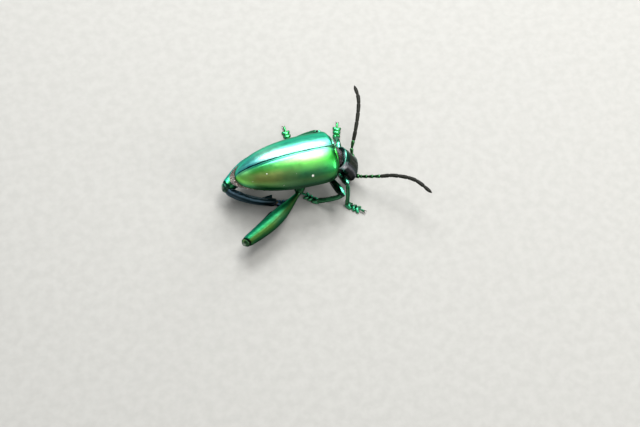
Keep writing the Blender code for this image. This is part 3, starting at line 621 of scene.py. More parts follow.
def coat_tree(bristly):
    """Bristles or grains over a surface, as close as its coat attribute says, each baked where it roots."""
    tree = bpy.data.node_groups.new("bristle coat" if bristly else "grain coat", "GeometryNodeTree")
    new = partial(add, tree)
    sizes = [(name, "Float") for name in ("Per Square Metre", "Length", "Thickness")]
    others = ("Lie", "Vector"), ("Seed", "Int"), ("Finish", "Material")
    for name, kind in (("Surface", "Geometry"), *sizes, *others):
        tree.interface.new_socket(name, in_out="INPUT", socket_type="NodeSocket" + kind)
    tree.interface.new_socket("Coat", in_out="OUTPUT", socket_type="NodeSocketGeometry")
    given = new("NodeGroupInput").outputs
    length, thickness, lie, seed = (given[name] for name in ("Length", "Thickness", "Lie", "Seed"))
    vector, corner = {"data_type": "FLOAT_VECTOR"}, {"data_type": "FLOAT2", "domain": "CORNER"}
    share, tuft, shell = (
        new("GeometryNodeInputNamedAttribute", {"Name": name}, kind)
        for name, kind in (("coat", {"data_type": "FLOAT"}), ("tuft", vector), ("Shell", vector))
    )
    limits = ((0.6,) * 3, (1.1,) * 3) if bristly else ((0.4, 0.4, 0.3), (1.7, 1.5, 0.9))
    stray, scale = (
        new("FunctionNodeRandomValue", {0: low, 1: high, "Seed": seed}, vector)
        for low, high in (((-0.35,) * 3, (0.35,) * 3), limits)
    )
    density = new("Math", {0: share, 1: given["Per Square Metre"]}, TIMES)
    roots = {"Mesh": given["Surface"], "Density": density, "Seed": seed}
    roots = new("GeometryNodeDistributePointsOnFaces", roots).outputs
    where = new("GeometryNodeInputPosition")
    if bristly:
        size = {"Vertices": 5, "Side Segments": 3, "Radius Top": 0.003 * MM, "Radius Bottom": thickness}
        shape = new("GeometryNodeMeshCone", {**size, "Depth": length})
        up = new("SeparateXYZ", {0: where}).outputs[2]
        bend = new("Math", {0: new("Math", {0: up, 1: up}, TIMES), 1: length}, {"operation": "DIVIDE"})
        lean = new("CombineXYZ", {0: bend})
    else:
        shape = new("GeometryNodeMeshIcoSphere", {"Radius": thickness, "Subdivisions": 2})
        bumps = new("TexNoise", sized(where, 0.05)).outputs[1]
        lean = new("VectorMath", {0: bumps, 1: (0.5,) * 3}, MINUS)
        lean = new("VectorMath", {0: lean, 1: (0.05 * MM,) * 3}, TIMES)
    patch = {"Geometry": shape, "Name": "tuft", "Value": shape.outputs["UV Map"]}
    shape = new("GeometryNodeStoreNamedAttribute", patch, corner)
    shape = new("GeometryNodeSetPosition", {"Geometry": shape, "Offset": lean})
    way = new("VectorMath", {0: roots["Normal"], 1: lie}, PLUS)
    way = {"Primary Axis": new("VectorMath", {0: way, 1: stray}, PLUS), "Secondary Axis": lie}
    way = new("FunctionNodeAxesToRotation", way, {"primary_axis": "Z", "secondary_axis": "X"})
    coat = {"Points": roots["Points"], "Instance": shape, "Rotation": way, "Scale": scale}
    coat = new("GeometryNodeInstanceOnPoints", coat)
    coat = new("GeometryNodeRealizeInstances", {"Geometry": coat})
    spread = new("VectorMath", {0: tuft, 1: (0.5, 0.5, 0.0)}, MINUS)
    spread = new("VectorMath", {0: spread, 1: (0.003,) * 3}, TIMES)
    spot = new("VectorMath", {0: shell, 1: spread}, PLUS)
    coat = {"Geometry": coat, "Name": "OFBake", "Value": spot}
    coat = new("GeometryNodeStoreNamedAttribute", coat, corner)
    for name in ("tuft", "Shell", "coat"):
        coat = new("GeometryNodeRemoveAttribute", {"Geometry": coat, "Name": name})
    coat = new("GeometryNodeSetMaterial", {"Geometry": coat, "Material": given["Finish"]})
    new("NodeGroupOutput", {"Coat": coat})
    return tree


BRISTLE, GRAIN = coat_tree(True), coat_tree(False)


def scattered(name, tree, finish, coats, per_square_mm, length, thickness, lie, seed):
    """A coat over surfaces, each given as its rings and how much of the coat each of their points has."""
    bare = mesh_of(name + " surface", finish, [skin(rings) for rings, _ in coats])
    weights = []
    for rings, share in coats:
        weights += [np.broadcast_to(share, rings.shape[:2]).astype(float).ravel(), (0.0, 0.0)]
    bare.attributes.new("coat", "FLOAT", "POINT").data.foreach_set("value", np.concatenate(weights))
    under = linked(name + " surface", bare)
    coat = under.modifiers.new("coat", "NODES")
    coat.node_group = tree
    settings = {"Per Square Metre": per_square_mm / MM**2, "Length": length * MM, "Thickness": thickness * MM}
    settings |= {"Lie": lie, "Seed": seed, "Finish": finish}
    for socket in tree.interface.items_tree:
        if socket.name in settings:
            coat[socket.identifier] = settings[socket.name]
    seen = under.evaluated_get(bpy.context.evaluated_depsgraph_get())
    mesh = bpy.data.meshes.new_from_object(seen)
    mesh.name = name
    bpy.data.objects.remove(under)
    settled(name, mesh)


# Wing cases


def case_width(share):
    """The half width of the closed wing cases as a share of their greatest, at a share of their length."""
    rear = np.clip((share - CASE_WIDEST) / (1 - CASE_WIDEST), 0, 1)
    front = np.clip((CASE_WIDEST - share) / (CASE_WIDEST + 0.012), 0, 1)
    return np.sqrt(1 - rear**2) * (1 - front**4) ** 0.25


def case_height(share):
    rear = np.clip((share - CASE_WIDEST) / (1 - CASE_WIDEST), 0, 1)
    front = np.clip((CASE_WIDEST - share) / CASE_WIDEST, 0, 1)
    return np.sqrt(1 - rear**2.3) * (1 - 0.10 * front**2 - 0.12 * front**9)


def case_over(x):
    """How wide to each side and how high the wing cases are over a place along the body."""
    share = np.clip(-x / CASE_LENGTH, 0, 1)
    return CASE_HALF_WIDTH * case_width(share), CASE_HEIGHT * case_height(share)


def case_surface(side, share, turn, wall=0.0):
    """A wing case's surface from the seam (turn 0) to the side edge (1), with its rims and shoulder."""
    share, angle = share[:, None], turn[None, :] * np.pi / 2
    width = CASE_HALF_WIDTH * case_width(share)
    height = CASE_HEIGHT * case_height(share)
    width = np.maximum(width - wall, width * 0.35)
    height = np.maximum(height - wall, height * 0.35)
    power = 2 / CASE_SQUARENESS
    out = (width - SEAM_HALF) * np.sin(angle) ** power
    rise = height * np.clip(np.cos(angle), 0, 1) ** power
    relief = 0.0
    if np.ndim(wall) == 0:
        shoulder = SHOULDER_BUMP * bell(share, 0.055, 0.045) * bell(turn, 0.66, 0.2)
        seam_rim = swells(out, (0.035, 0.17, 0.12), (-0.03, 0.42, 0.14)) - 0.10 * np.exp(-out / 0.05)
        side_rim = swells(rise, (0.04, 0.12, 0.12), (-0.04, 0.42, 0.2))
        front_rim = swells(CASE_LENGTH * share, (0.05, 0.14, 0.09), (-0.09, 0.37, 0.1))
        relief = (shoulder + seam_rim + side_rim + front_rim) * step(width, 0.0, 1.2)
    out = SEAM_HALF + out + relief * np.sin(angle)
    rise = rise + relief * np.cos(angle)
    return np.stack([-CASE_LENGTH * share + 0 * angle, side * out, EDGE + rise], axis=-1)


def wing_case(name, side, finish):
    share, turn = eased(170, 0.0, 0.9998), eased(80)
    edge = 0.03 + (CASE_WALL - 0.03) * np.sqrt(np.clip(CASE_LENGTH * share[:, None] / 0.3, 0, 1))
    outer = case_surface(side, share, turn)
    inner = case_surface(side, share, turn, edge * (1 - 0.6 * step(turn, 0.97, 1.0)))
    around = np.concatenate([turn, turn[::-1], [0.0]])
    shape = skin(np.concatenate([outer, inner[:, ::-1]], axis=1), around, folded=True)
    piece("wing_case_%s_shell" % name, finish, [shape], ["wing_case_" + name])


def scutellum():
    """The small smooth shield between the bases of the wing cases, rounded behind."""
    share = eased(40)
    half_width = 0.56 * dome(share**1.7) * step(share, -0.25, 0.1) + 0.02
    x = 0.2 - 1.15 * share
    top = EDGE + case_over(x)[1] + 0.03 - 0.9 * np.maximum(0, x + 0.2)
    centres = np.stack([x, 0 * x, top - 0.16], axis=1)
    thick = 0.18 * dome((2 * share - 1) ** 8) + 0.01
    rings = ovals(centres, LEFT, UP, half_width, thick, thick, 40, 0.8)
    piece("scutellum_shield", belly_finish, [skin(rings)], ["scutellum"])


# Trunk


def trunk_rings(x, half_width, depth, lift, sides=96):
    """A belly below the side edges, and a narrower back that fits under the wing cases."""
    inner = np.minimum(np.maximum(case_over(x)[0] - 0.9, 0.12), half_width)[:, None]
    below = sides * 2 // 3
    turn = np.pi * np.arange(below) / (below - 1)
    belly_y = signed_power(np.cos(turn), 0.9) * half_width[:, None]
    belly_z = -signed_power(np.sin(turn), 0.9) * depth[:, None]
    turn = np.pi * np.arange(sides - below) / (sides - below - 1)
    y = np.concatenate([belly_y, -np.cos(turn) * inner], axis=1)
    z = np.concatenate([belly_z, 0.02 + np.sin(turn) * lift[:, None]], axis=1) + EDGE - 0.09
    return np.stack([x[:, None] + 0 * y, y, z], axis=-1)


def abdomen():
    """Belly plates that overlap towards the tail, each with a raised hind edge."""
    tail = LAST_PLATE + (ABDOMEN_TAIL - LAST_PLATE) * np.sin(np.linspace(0.03, 1, 40) * np.pi / 2)
    x = np.concatenate([np.linspace(ABDOMEN_FRONT, LAST_PLATE, 190), tail])
    widest = CASE_WIDEST * CASE_LENGTH
    narrowing = np.clip((-x - widest) / (-ABDOMEN_TAIL - widest), 0, 1)
    half_width = ABDOMEN_HALF_WIDTH * np.sqrt(1 - narrowing**2)
    fall = np.clip((ABDOMEN_FRONT - x) / (ABDOMEN_FRONT - ABDOMEN_TAIL), 0, 1)
    depth = ABDOMEN_DEPTH * (1 - fall**1.45) ** 0.85 + 0.25 * np.sqrt(1 - fall**6)
    sink = 0 * x
    for joint in SEGMENT_JOINTS:
        past = joint - x
        sink += 0.12 * (past > 0) * np.exp(-np.clip(past, 0, None) / 0.5) - 0.03 * bell(past, -0.12, 0.1)
    lift = np.maximum(0.03, 0.55 * (case_over(x)[1] - 0.55) - 0.2)
    rings = trunk_rings(x, np.maximum(half_width - sink, 0.02), np.maximum(depth - sink, 0.02), lift)
    piece("abdomen_plates", abdomen_finish, [skin(rings)], ["abdomen"])
    x, y, z = np.moveaxis(rings, -1, 0)
    bare = (np.abs(y) > case_over(x)[0] - 0.25) & (z > EDGE - 0.45)
    coats = [(rings, step(-x, 13.4, 15.6) * bare)]
    scattered("tail_debris", GRAIN, debris_finish, coats, 75, 0.0, 0.045, (-1, 0, 0.2), 11)
    scattered("tail_hairs", BRISTLE, down_finish, coats, 40, 0.3, 0.011, (-1.2, 0, 0.2), 12)


def hind_chest():
    """The breastplate between the middle and hind legs, with a groove down its middle."""
    rows = (
        (-0.2, 2.3, 1.2), (-0.6, 2.75, 1.8), (-1.1, 3.1, 2.15), (-1.9, 3.55, 2.5), (-3.0, 3.95, 2.75),
        (-4.2, 4.1, 2.75), (-5.1, 4.12, 2.6), (-5.76, 4.1, 2.4),
    )
    x = np.linspace(CHEST_FRONT, CHEST_BACK, 100)
    half_width, depth = through([(-row[0], *row[1:]) for row in rows], -x)
    inside = np.minimum(CHEST_FRONT - x, x - CHEST_BACK)
    edge = 0.25 * (1 - dome((1 - inside / 0.3).clip(0, 1) ** 2))
    fill = 0.55 + 0.33 * step(x, -3.0, -1.0)
    rings = trunk_rings(x, half_width - edge, depth - edge, fill * (case_over(x)[1] - 0.55) - 0.2)
    _, y, z = np.moveaxis(rings, -1, 0)
    z += 0.12 * step(EDGE - 2.0 - z, 0.0, 0.8) * bell(y, 0, 0.14)
    z += 0.08 * bell(np.abs(y), 3.3, 0.1) * (z < EDGE - 0.5)
    piece("hind_chest", belly_finish, [skin(rings)], ["metathorax"])
    coats = [(rings, (np.abs(y) > 1.2) * step(EDGE - z, 0.6, 1.0))]
    scattered("breast_down", BRISTLE, down_finish, coats, 26, 0.26, 0.012, (-1.4, 0, -0.4), 13)


def collar():
    """The dark collar between the neck shield and the wing cases."""
    rows = (
        (-2.0, 1.35, 0.9, 1.0), (-1.2, 1.75, 1.35, 1.35), (-0.5, 2.2, 1.75, 1.95), (0.0, 2.25, 1.95, 2.3),
        (1.01, 2.3, 2.15, 2.3),
    )
    x = np.linspace(2.0, -1.01, 60)
    half_width, deep, high = through(rows, -x)
    ahead = np.clip(x, 0, None)
    centres = np.stack([x, -0.25 * ahead, EDGE - 0.2 - 0.25 * ahead], axis=1)
    rings = ovals(centres, LEFT, UP, half_width, high, deep, 90, 0.92)
    rings = pushed(rings, 0.05 * np.sin(x * 9)[:, None] * step(np.sin(angles(90)), 0.2, 0.7))
    piece("dark_collar", collar_finish, [skin(rings)], ["mesothorax"])
    x, y, z = np.moveaxis(rings, -1, 0)
    patch = bell(x, 0.55, 0.35) * bell(y, -0.1, 0.5) * (z > EDGE)
    patch = patch + 0.05 * bell(x, 0.7, 0.25) * (z > EDGE - 0.5)
    coats = [(rings, patch)]
    scattered("collar_down", BRISTLE, down_finish, coats, 150, 0.16, 0.016, (0.8, 0, 0.3), 14)


# Neck shield, head and what grows from it


def neck_shield():
    """A waisted barrel with knobbed corners, a rim round each opening and a faint groove down its back."""
    rows = (
        (-0.14, 0.93, 1.52, 1.34), (-0.08, 1.02, 1.68, 1.44), (0.0, 1.01, 1.7, 1.44),
        (0.08, 1.01, 1.77, 1.47), (0.3, 0.98, 1.82, 1.45), (0.55, 0.98, 1.76, 1.4), (0.75, 1.06, 1.62, 1.32),
        (0.88, 1.14, 1.45, 1.22), (0.95, 1.08, 1.28, 1.1), (1.0, 0.93, 1.05, 0.95),
    )
    forward, left, over = turned(SHIELD_YAW, SHIELD_PITCH)
    share = eased(120, -0.14, 1.0)
    wide, high, deep = through(rows, share)
    centres = SHIELD_BASE + forward * (SHIELD_LENGTH * share)[:, None]
    rings = ovals(centres, left, over, SHIELD_HALF_WIDTH * wide, high, deep, 110, 0.92, 0.3)
    turn = angles(110)
    at = share[:, None]
    corner = bell(np.abs(np.cos(turn)), 1.0, 0.25) * step(np.sin(turn), -0.5, 0.3)
    rims = (0.06, -0.115, 0.016), (-0.08, -0.065, 0.018), (0.05, 0.985, 0.012), (-0.05, 0.95, 0.015)
    relief = swells(at, (0.10, 0.9, 0.05), (0.08, -0.09, 0.03)) * corner + swells(at, *rims)
    relief = relief - 0.06 * bell(turn, np.pi / 2, 0.12) * step(at, 0.15, 0.4) * step(1 - at, 0.1, 0.3)
    piece("neck_shield", shield_finish, [skin(pushed(rings, relief))], ["prothorax"])


HEAD_FORWARD, HEAD_LEFT, HEAD_OVER = turned(HEAD_YAW, HEAD_PITCH)


def head_point(along, side, lift):
    """A place on the head: along it towards the mouth, to its left, and out of its face."""
    ways = zip((HEAD_FORWARD, HEAD_LEFT, HEAD_OVER), (along, side, lift))
    return np.array(HEAD_BASE) + sum(way * np.reshape(amount, (-1, 1)) for way, amount in ways)


def head():
    """A capsule that widens to the eyes, with crossed grooves on its face and a ledge above the mouth."""
    rows = (
        (0.0, 0.55, 0.5, 0.5), (0.1, 0.8, 0.78, 0.72), (0.3, 0.96, 0.98, 0.84), (0.52, 1.0, 1.02, 0.84),
        (0.7, 0.88, 0.9, 0.74), (0.85, 0.74, 0.66, 0.6), (1.0, 0.6, 0.42, 0.46),
    )
    share = eased(100)
    wide, high, deep = through(rows, share)
    centres = head_point(HEAD_LENGTH * share, 0, 0)
    rings = ovals(centres, HEAD_LEFT, HEAD_OVER, HEAD_HALF_WIDTH * wide, high, deep, 96, 0.95)
    side = (rings - centres[:, None, :]) @ HEAD_LEFT
    face = step(np.sin(angles(96)), 0.0, 0.4)
    at = share[:, None]
    cross = bell(np.abs(side), np.abs(at - 0.42) * 1.9, 0.07) * step(0.26 - np.abs(at - 0.42), 0.0, 0.06)
    ledge = swells(at, (-0.07, 0.83, 0.015), (-0.042, 0.93, 0.012), (0.05, 0.885, 0.03))
    relief = face * (ledge - 0.10 * cross)
    piece("head_capsule", shield_finish, [skin(pushed(rings, relief))], ["head"])


def eye(name, side):
    """A bulging kidney with a notch where the feeler stands."""
    centre = head_point(HEAD_LENGTH * 0.47, side * HEAD_HALF_WIDTH * 0.88, 0.16)
    turn = np.linspace(0.04, np.pi - 0.04, 50)
    centres = centre + HEAD_LEFT * (side * -np.cos(turn) * EYE_RADIUS * 0.85)[:, None]
    size = np.sin(turn) * EYE_RADIUS
    rings = ovals(centres, -HEAD_FORWARD, HEAD_OVER, size * 1.05, size * 1.1, size, 64)
    notch = -0.10 * bell(angles(64), 0.85 * np.pi, 0.35) * step(np.sin(turn), 0.3, 0.9)[:, None]
    piece("eye_%s_cornea" % name, eye_finish, [skin(pushed(rings, notch))], ["eye_" + name])


def jaws():
    """Each mandible is a stout hook that bends in to meet its fellow."""
    share = eased(36)
    thick = 0.30 * (1 - share) ** 0.7 + 0.03
    for name, side in (("left", 1), ("right", -1)):
        centres = head_point(HEAD_LENGTH * 0.9 + 0.85 * share, side * (0.50 - 0.38 * share**2.2), -0.05)
        rings = ovals(centres, HEAD_LEFT, HEAD_OVER, thick, thick * 1.05, thick * 1.05, 32)
        teeth = 0.06 * np.sin(share * 22) * step(share, 0.3, 0.6)
        bite = teeth[:, None] * bell(side * np.cos(angles(32)), -1, 0.5)
        piece("mandible_%s_hook" % name, jaw_finish, [skin(pushed(rings, bite))], ["mandible_" + name])


def mouthparts():
    """The lips and the jointed feelers beside them."""
    rows = ((0.72, 0.30, 0.12), (0.8, 0.42, 0.22), (0.95, 0.36, 0.2), (1.08, 0.16, 0.10))
    share = np.linspace(0.72, 1.08, 30)
    wide, thick = through(rows, share)
    centres = head_point(HEAD_LENGTH * share, 0, -0.68 + 0.12 * share)
    shapes = [skin(ovals(centres, HEAD_LEFT, HEAD_OVER, wide, thick, thick, 32))]
    share = np.linspace(0.9, 1.12, 24)
    wide = 0.52 * dome(((share - 0.96) / 0.17) ** 2, 0.004)
    centres = head_point(HEAD_LENGTH * share, 0, 0.24 - 0.3 * (share - 0.9))
    lip = ovals(centres, HEAD_LEFT, HEAD_OVER, wide, 0.10, 0.16, 32)
    shapes.append(skin(lip))
    coats, lie = [(lip, step(share, 0.97, 1.04)[:, None])], tuple(HEAD_FORWARD + HEAD_OVER * 0.3)
    scattered("lip_bristles", BRISTLE, bristle_finish, coats, 150, 0.16, 0.009, lie, 15)
    share = eased(16)
    size = 0.16 * dome((2 * share - 1) ** 4, 0.02) * (0.75 + 0.25 * share)
    for side in (-1, 1):
        for k, (near, far) in enumerate(((0.88, 1.02), (1.02, 1.12), (1.12, 1.24))):
            start = head_point(HEAD_LENGTH * near, side * (0.28 + 0.13 * k), -0.58)[0]
            end = head_point(HEAD_LENGTH * far, side * (0.41 + 0.13 * k), -0.60)[0]
            shapes.append(rod(start, end, HEAD_OVER, share, size, 20))
    piece("lips_and_palps", jaw_finish, shapes, ["mouthparts"])


BEAD_ROWS = ((0.0, 0.42), (0.06, 0.58), (0.3, 0.8), (0.66, 1.0), (0.86, 0.98), (0.96, 0.76), (1.0, 0.42))
ROD_ROWS = ((0.0, 0.66), (0.06, 0.84), (0.3, 0.94), (0.6, 1.0), (0.88, 0.98), (0.96, 0.88), (1.0, 0.7))
END_ROWS = ((0.0, 0.5), (0.05, 0.68), (0.2, 0.84), (0.5, 0.95), (0.72, 0.8), (0.9, 0.45), (1.0, 0.1))


def feeler(name):
    """Eleven joints on one route. Each is narrow at its root and widest before its end."""
    route = smooth_route(FEELER_ROUTES[name])
    route = np.vstack([route, route[-1] + (route[-1] - route[-2]) * 3])
    distance = np.concatenate([[0], np.cumsum(np.linalg.norm(np.diff(route, axis=0), axis=1))])
    ends = np.cumsum((0, *FEELER_JOINTS)) * (distance[-2] / sum(FEELER_JOINTS))
    share = eased(30)
    shapes = []
    for joint, (near, far) in enumerate(zip(ends, ends[1:])):
        rows, radius = END_ROWS if joint == len(FEELER_JOINTS) - 1 else ROD_ROWS, 0.33
        if joint < BRIGHT_JOINTS:
            rows, radius = BEAD_ROWS, 0.3 if joint else 0.36
        at = np.maximum(near + (far - near) * (share * 1.02 - 0.01), share * 0.01)
        centres = np.stack([np.interp(at, distance, route[:, k]) for k in range(3)], axis=1)
        along = np.gradient(centres, axis=0)
        across = np.cross(along, UP)
        across /= np.linalg.norm(across, axis=1, keepdims=True)
        over = np.cross(across, along)
        over /= np.linalg.norm(over, axis=1, keepdims=True)
        size = radius * through(rows, share)[0]
        shapes.append(skin(ovals(centres, across, over, size, size * 0.9, size * 0.9, 28)))
    base, tip = "antenna_%s_base" % name, "antenna_%s_tip" % name
    piece(base + "_joints", bead_finish, shapes[:BRIGHT_JOINTS], [base])
    piece(tip + "_joints", feeler_finish, shapes[BRIGHT_JOINTS:], [tip])


# Legs


def limb_rings(start, end, upward, share, half_width, top, bottom, sides, bow=0 * UP):
    """Rings from start to end, pushed aside by bow at the middle."""
    along = unit(end - start)
    across = unit(np.cross(along, upward))
    over = np.cross(across, along)
    reach = np.linalg.norm(end - start) * share
    centres = start + along * reach[:, None] + bow * np.sin(np.pi * share)[:, None]
    return ovals(centres, across, over, half_width, top, bottom, sides)


def rod(start, end, upward, share, size, sides, bow=0 * UP):
    """A round limb."""
    return skin(limb_rings(start, end, upward, share, size, size, size, sides, bow))


def closing(share, length, radius):
    """1 along a limb, falling to nothing in a round end at each end of it."""
    near = np.minimum(share, 1 - share) * length / radius
    return dome((1 - np.clip(near, 0.004, 1)) ** 2)


def spike(root, tip, upward, width, depth, sides=20):
    """A tooth or a spur, broad at its root."""
    share = np.linspace(0, 1, 14)
    size = (1 - share) ** 0.8 + 0.03
    return skin(limb_rings(root, tip, upward, share, width * size, depth * size, depth * size, sides))


def bend_side(start, middle, end):
    """The direction, square to start-middle, that points away from end."""
    along = unit(middle - start)
    reach = end - middle
    return unit(along * np.dot(reach, along) - reach)


THIGH_ROWS = (
    (0.0, 0.3, 0.24, 0.24), (0.05, 0.34, 0.26, 0.26), (0.2, 0.62, 0.58, 0.54), (0.38, 0.93, 0.94, 0.88),
    (0.55, 1.0, 1.0, 1.0), (0.72, 0.92, 0.88, 0.95), (0.84, 0.82, 0.76, 0.84), (0.92, 0.72, 0.66, 0.66),
    (0.97, 0.58, 0.53, 0.5), (1.0, 0.48, 0.44, 0.4),
)
FEMUR_ROWS = (
    (0.0, 0.5, 0.42, 0.42), (0.08, 0.62, 0.56, 0.56), (0.5, 0.95, 0.95, 0.95), (0.7, 1.0, 1.0, 1.0),
    (0.88, 0.84, 0.8, 0.8), (0.96, 0.7, 0.66, 0.64), (1.0, 0.6, 0.56, 0.54),
)
SHIN_ROWS = (
    (0.0, 0.75, 0.7), (0.06, 1.12, 1.1), (0.2, 1.2, 1.2), (0.5, 1.06, 1.06), (0.8, 1.02, 1.0),
    (0.95, 1.1, 1.04), (1.0, 0.95, 0.88),
)
TIBIA_ROWS = (
    (0.0, 0.6, 0.55), (0.06, 0.85, 0.8), (0.35, 0.98, 0.98), (0.8, 1.0, 1.0), (0.95, 1.07, 1.05),
    (1.0, 0.9, 0.85),
)


def femur(name, kind, hip, tip, over, bow):
    """The thigh. The hind one is swollen, with a crest, a toothed keel below and lobes at the knee."""
    _, thick, deep = LEG_SIZES[kind]["femur"]
    hind = kind == "hind"
    length = np.linalg.norm(tip - hip)
    share, turn = eased(150 if hind else 80), angles(80)
    wide, top, bottom = through(THIGH_ROWS if hind else FEMUR_ROWS, share)
    end = closing(share, length, np.where(share > 0.5, 0.85, 0.5) if hind else 0.3)
    wide, top, bottom = wide * thick * end, top * deep * end, bottom * deep * end
    rings = limb_rings(hip, tip, over, share, wide, top, bottom, 80, bow)
    at = share[:, None]
    relief = -0.05 * bell(at, 0.93, 0.012) * end[:, None]
    if hind:
        keel = 0.10 * bell(turn, 1.5 * np.pi, 0.2) * step(at, 0.3, 0.5) * step(1 - at, 0.1, 0.2)
        teeth = np.clip(np.sin(at * 150), 0, 1) * step(at, 0.66, 0.7) * step(1 - at, 0.08, 0.12)
        crest = 0.05 * bell(turn, 0.5 * np.pi, 0.25) * step(at, 0.1, 0.3) * step(1 - at, 0.12, 0.3)
        groove = 0.10 * bell(at, 0.945, 0.009) * (0.4 + 0.6 * step(np.sin(turn), -0.6, 0.2))
        relief = keel + 0.09 * bell(turn, 1.5 * np.pi, 0.09) * teeth + crest - groove
        relief = relief + 0.05 * bell(at, 0.965, 0.012)
    shapes = [skin(pushed(rings, relief))]
    if hind:
        along = unit(tip - hip)
        knee = tip - along * deep * 0.3
        root = hip + along * (np.linalg.norm(knee - hip) * 0.73) - over * deep * 0.45 + bow * 0.79
        shapes.append(spike(root, root - over * deep * 0.42 + along * 0.1, along, 0.27, 0.44))
    finish = leg_finish
    if hind:
        finish = thigh_left_finish if name.endswith("left") else thigh_right_finish
    piece(name + "_femur_shell", finish, shapes, [name + "_femur"])


def tibia(name, kind, knee, ankle, over, bow):
    """The shin, curved and widened to its end, with a ridge, spurs and on the hind leg an inner tooth."""
    length, thick, deep = LEG_SIZES[kind]["tibia"]
    hind = kind == "hind"
    share, turn = eased(90), angles(56)
    wide, size = through(SHIN_ROWS if hind else TIBIA_ROWS, share)
    end = closing(share, length, 0.5 if hind else 0.22)
    depth = size * deep * end
    rings = limb_rings(knee, ankle, over, share, wide * thick * end, depth, depth, 56, bow)
    at = share[:, None]
    ridge = bell(turn, 0.5 * np.pi, 0.16) * step(at, 0.1, 0.25) * step(1 - at, 0.03, 0.1)
    rings = pushed(rings, (0.05 if hind else 0.03) * ridge - 0.03 * bell(at, 0.05, 0.015))
    shapes = [skin(rings)]
    along = unit(ankle - knee)
    if hind:
        root = knee + along * (length * 0.86) + over * 0.15
        share = np.linspace(0, 1, 24)
        size = 1 - share + 0.04 * dome(share**6, 0.04)
        tip = root - over * 1.24 + along * 0.3
        shapes.append(skin(limb_rings(root, tip, along, share, 0.32 * size, 0.42 * size, 1.4 * size, 24)))
    side = unit(np.cross(along, over))
    for lean in (-1, 1):
        root = ankle - along * 0.12 - over * deep * 0.4 + side * lean * thick * 0.5
        spur = root + along * 0.2 - over * 0.16 + side * lean * 0.05
        shapes.append(spike(root, spur, over, 0.05, 0.05, 10))
    coats = [(rings, bell(turn, 1.5 * np.pi, 0.8) * step(at, 0.3, 0.6) + bell(at, 0.96, 0.03))]
    seed, lie = 20 + sorted(LEG_POSES).index(name), tuple(along * 1.2)
    scattered(name + "_fringe", BRISTLE, bristle_finish, coats, 40, 0.1 + 0.2 * deep, 0.012, lie, seed)
    slot, finish = ("dark_leg", shin_finish) if hind else ("leg", slim_shin_finish)
    piece(name + "_tibia_shell", finish, shapes, [name + "_tibia"])


def foot_pad(ground, along, across, start, length, half_width, high, notch):
    """One joint of a foot: a flat-soled lobe, cleft in front."""
    share = eased(26)
    rows = ((0.0, 0.4, 0.6), (0.25, 0.72, 0.9), (0.6, 0.98, 1.0), (0.85, 1.0, 0.8), (1.0, 0.72, 0.5))
    wide, tall = through(rows, share)
    end = closing(share, length, 0.12)
    wide, tall = half_width * wide * end, (high - 0.2) * tall * end
    centres = ground + along * (start + length * share)[:, None] + UP * 0.2
    rings = ovals(centres, across, UP, wide, tall, 0.18 * end, 40, 0.85)
    side = (rings - centres[:, None, :]) @ across
    cleft = notch * length * bell(side, 0, half_width * 0.3) * step(share, 0.45, 1.0)[:, None]
    return rings - along * cleft[..., None]


def foot(name, kind, ankle, yaw):
    """Three cleft pads with a felt sole, and a slender joint that carries two claws."""
    length, half_width = LEG_SIZES[kind]["tarsus"], LEG_SIZES[kind]["foot"]
    along, across = heading(yaw), heading(yaw + 90)
    ground = np.array((ankle[0], ankle[1], 0.0))
    pads = [
        foot_pad(ground, along, across, -0.34, 0.31 * length + 0.3, half_width * 1.1, 0.66, 0.12),
        foot_pad(ground, along, across, 0.26 * length, 0.25 * length, half_width * 1.16, 0.58, 0.2),
        foot_pad(ground, along, across, 0.46 * length, 0.28 * length, half_width * 1.26, 0.52, 0.42),
    ]
    share = eased(40)
    (size,) = through(((0.0, 0.10), (0.3, 0.12), (0.75, 0.19), (0.95, 0.18), (1.0, 0.12)), share)
    size = size * closing(share, 0.45 * length, 0.1)
    start, end = (ground + along * reach * length + UP * high for reach, high in ((0.52, 0.36), (0.97, 0.40)))
    joint = rod(start, end, UP, share, size, 28, UP * 0.08)
    finish = foot_finish if name.endswith("left") else slim_shin_finish
    if kind == "hind":
        finish = hind_foot_finish
    piece(name + "_foot_joints", finish, [*map(skin, pads), joint], [name + "_tarsus"])
    coats = [(pad, bell(np.sin(angles(40)), -0.1, 0.2)) for pad in pads]
    seed = 30 + sorted(LEG_POSES).index(name)
    scattered(name + "_pad_felt", BRISTLE, felt_finish, coats, 110, 0.07, 0.012, (0, 0, 0.3), seed)
    share = np.linspace(0, 1, 20)
    reach = length * 0.93 + 0.46 * np.sin(share * 1.35)
    size = 0.085 * (1 - share) ** 0.6 + 0.006
    claws = []
    for side in (-1, 1):
        out = side * (0.06 + 0.28 * share**0.8)
        centres = ground + along * reach[:, None] + across * out[:, None]
        centres[:, 2] = 0.42 - 0.32 * share**2
        claws.append(skin(ovals(centres, across, UP, size * 0.8, size, size, 16)))
    piece(name + "_claws", claw_finish, claws)


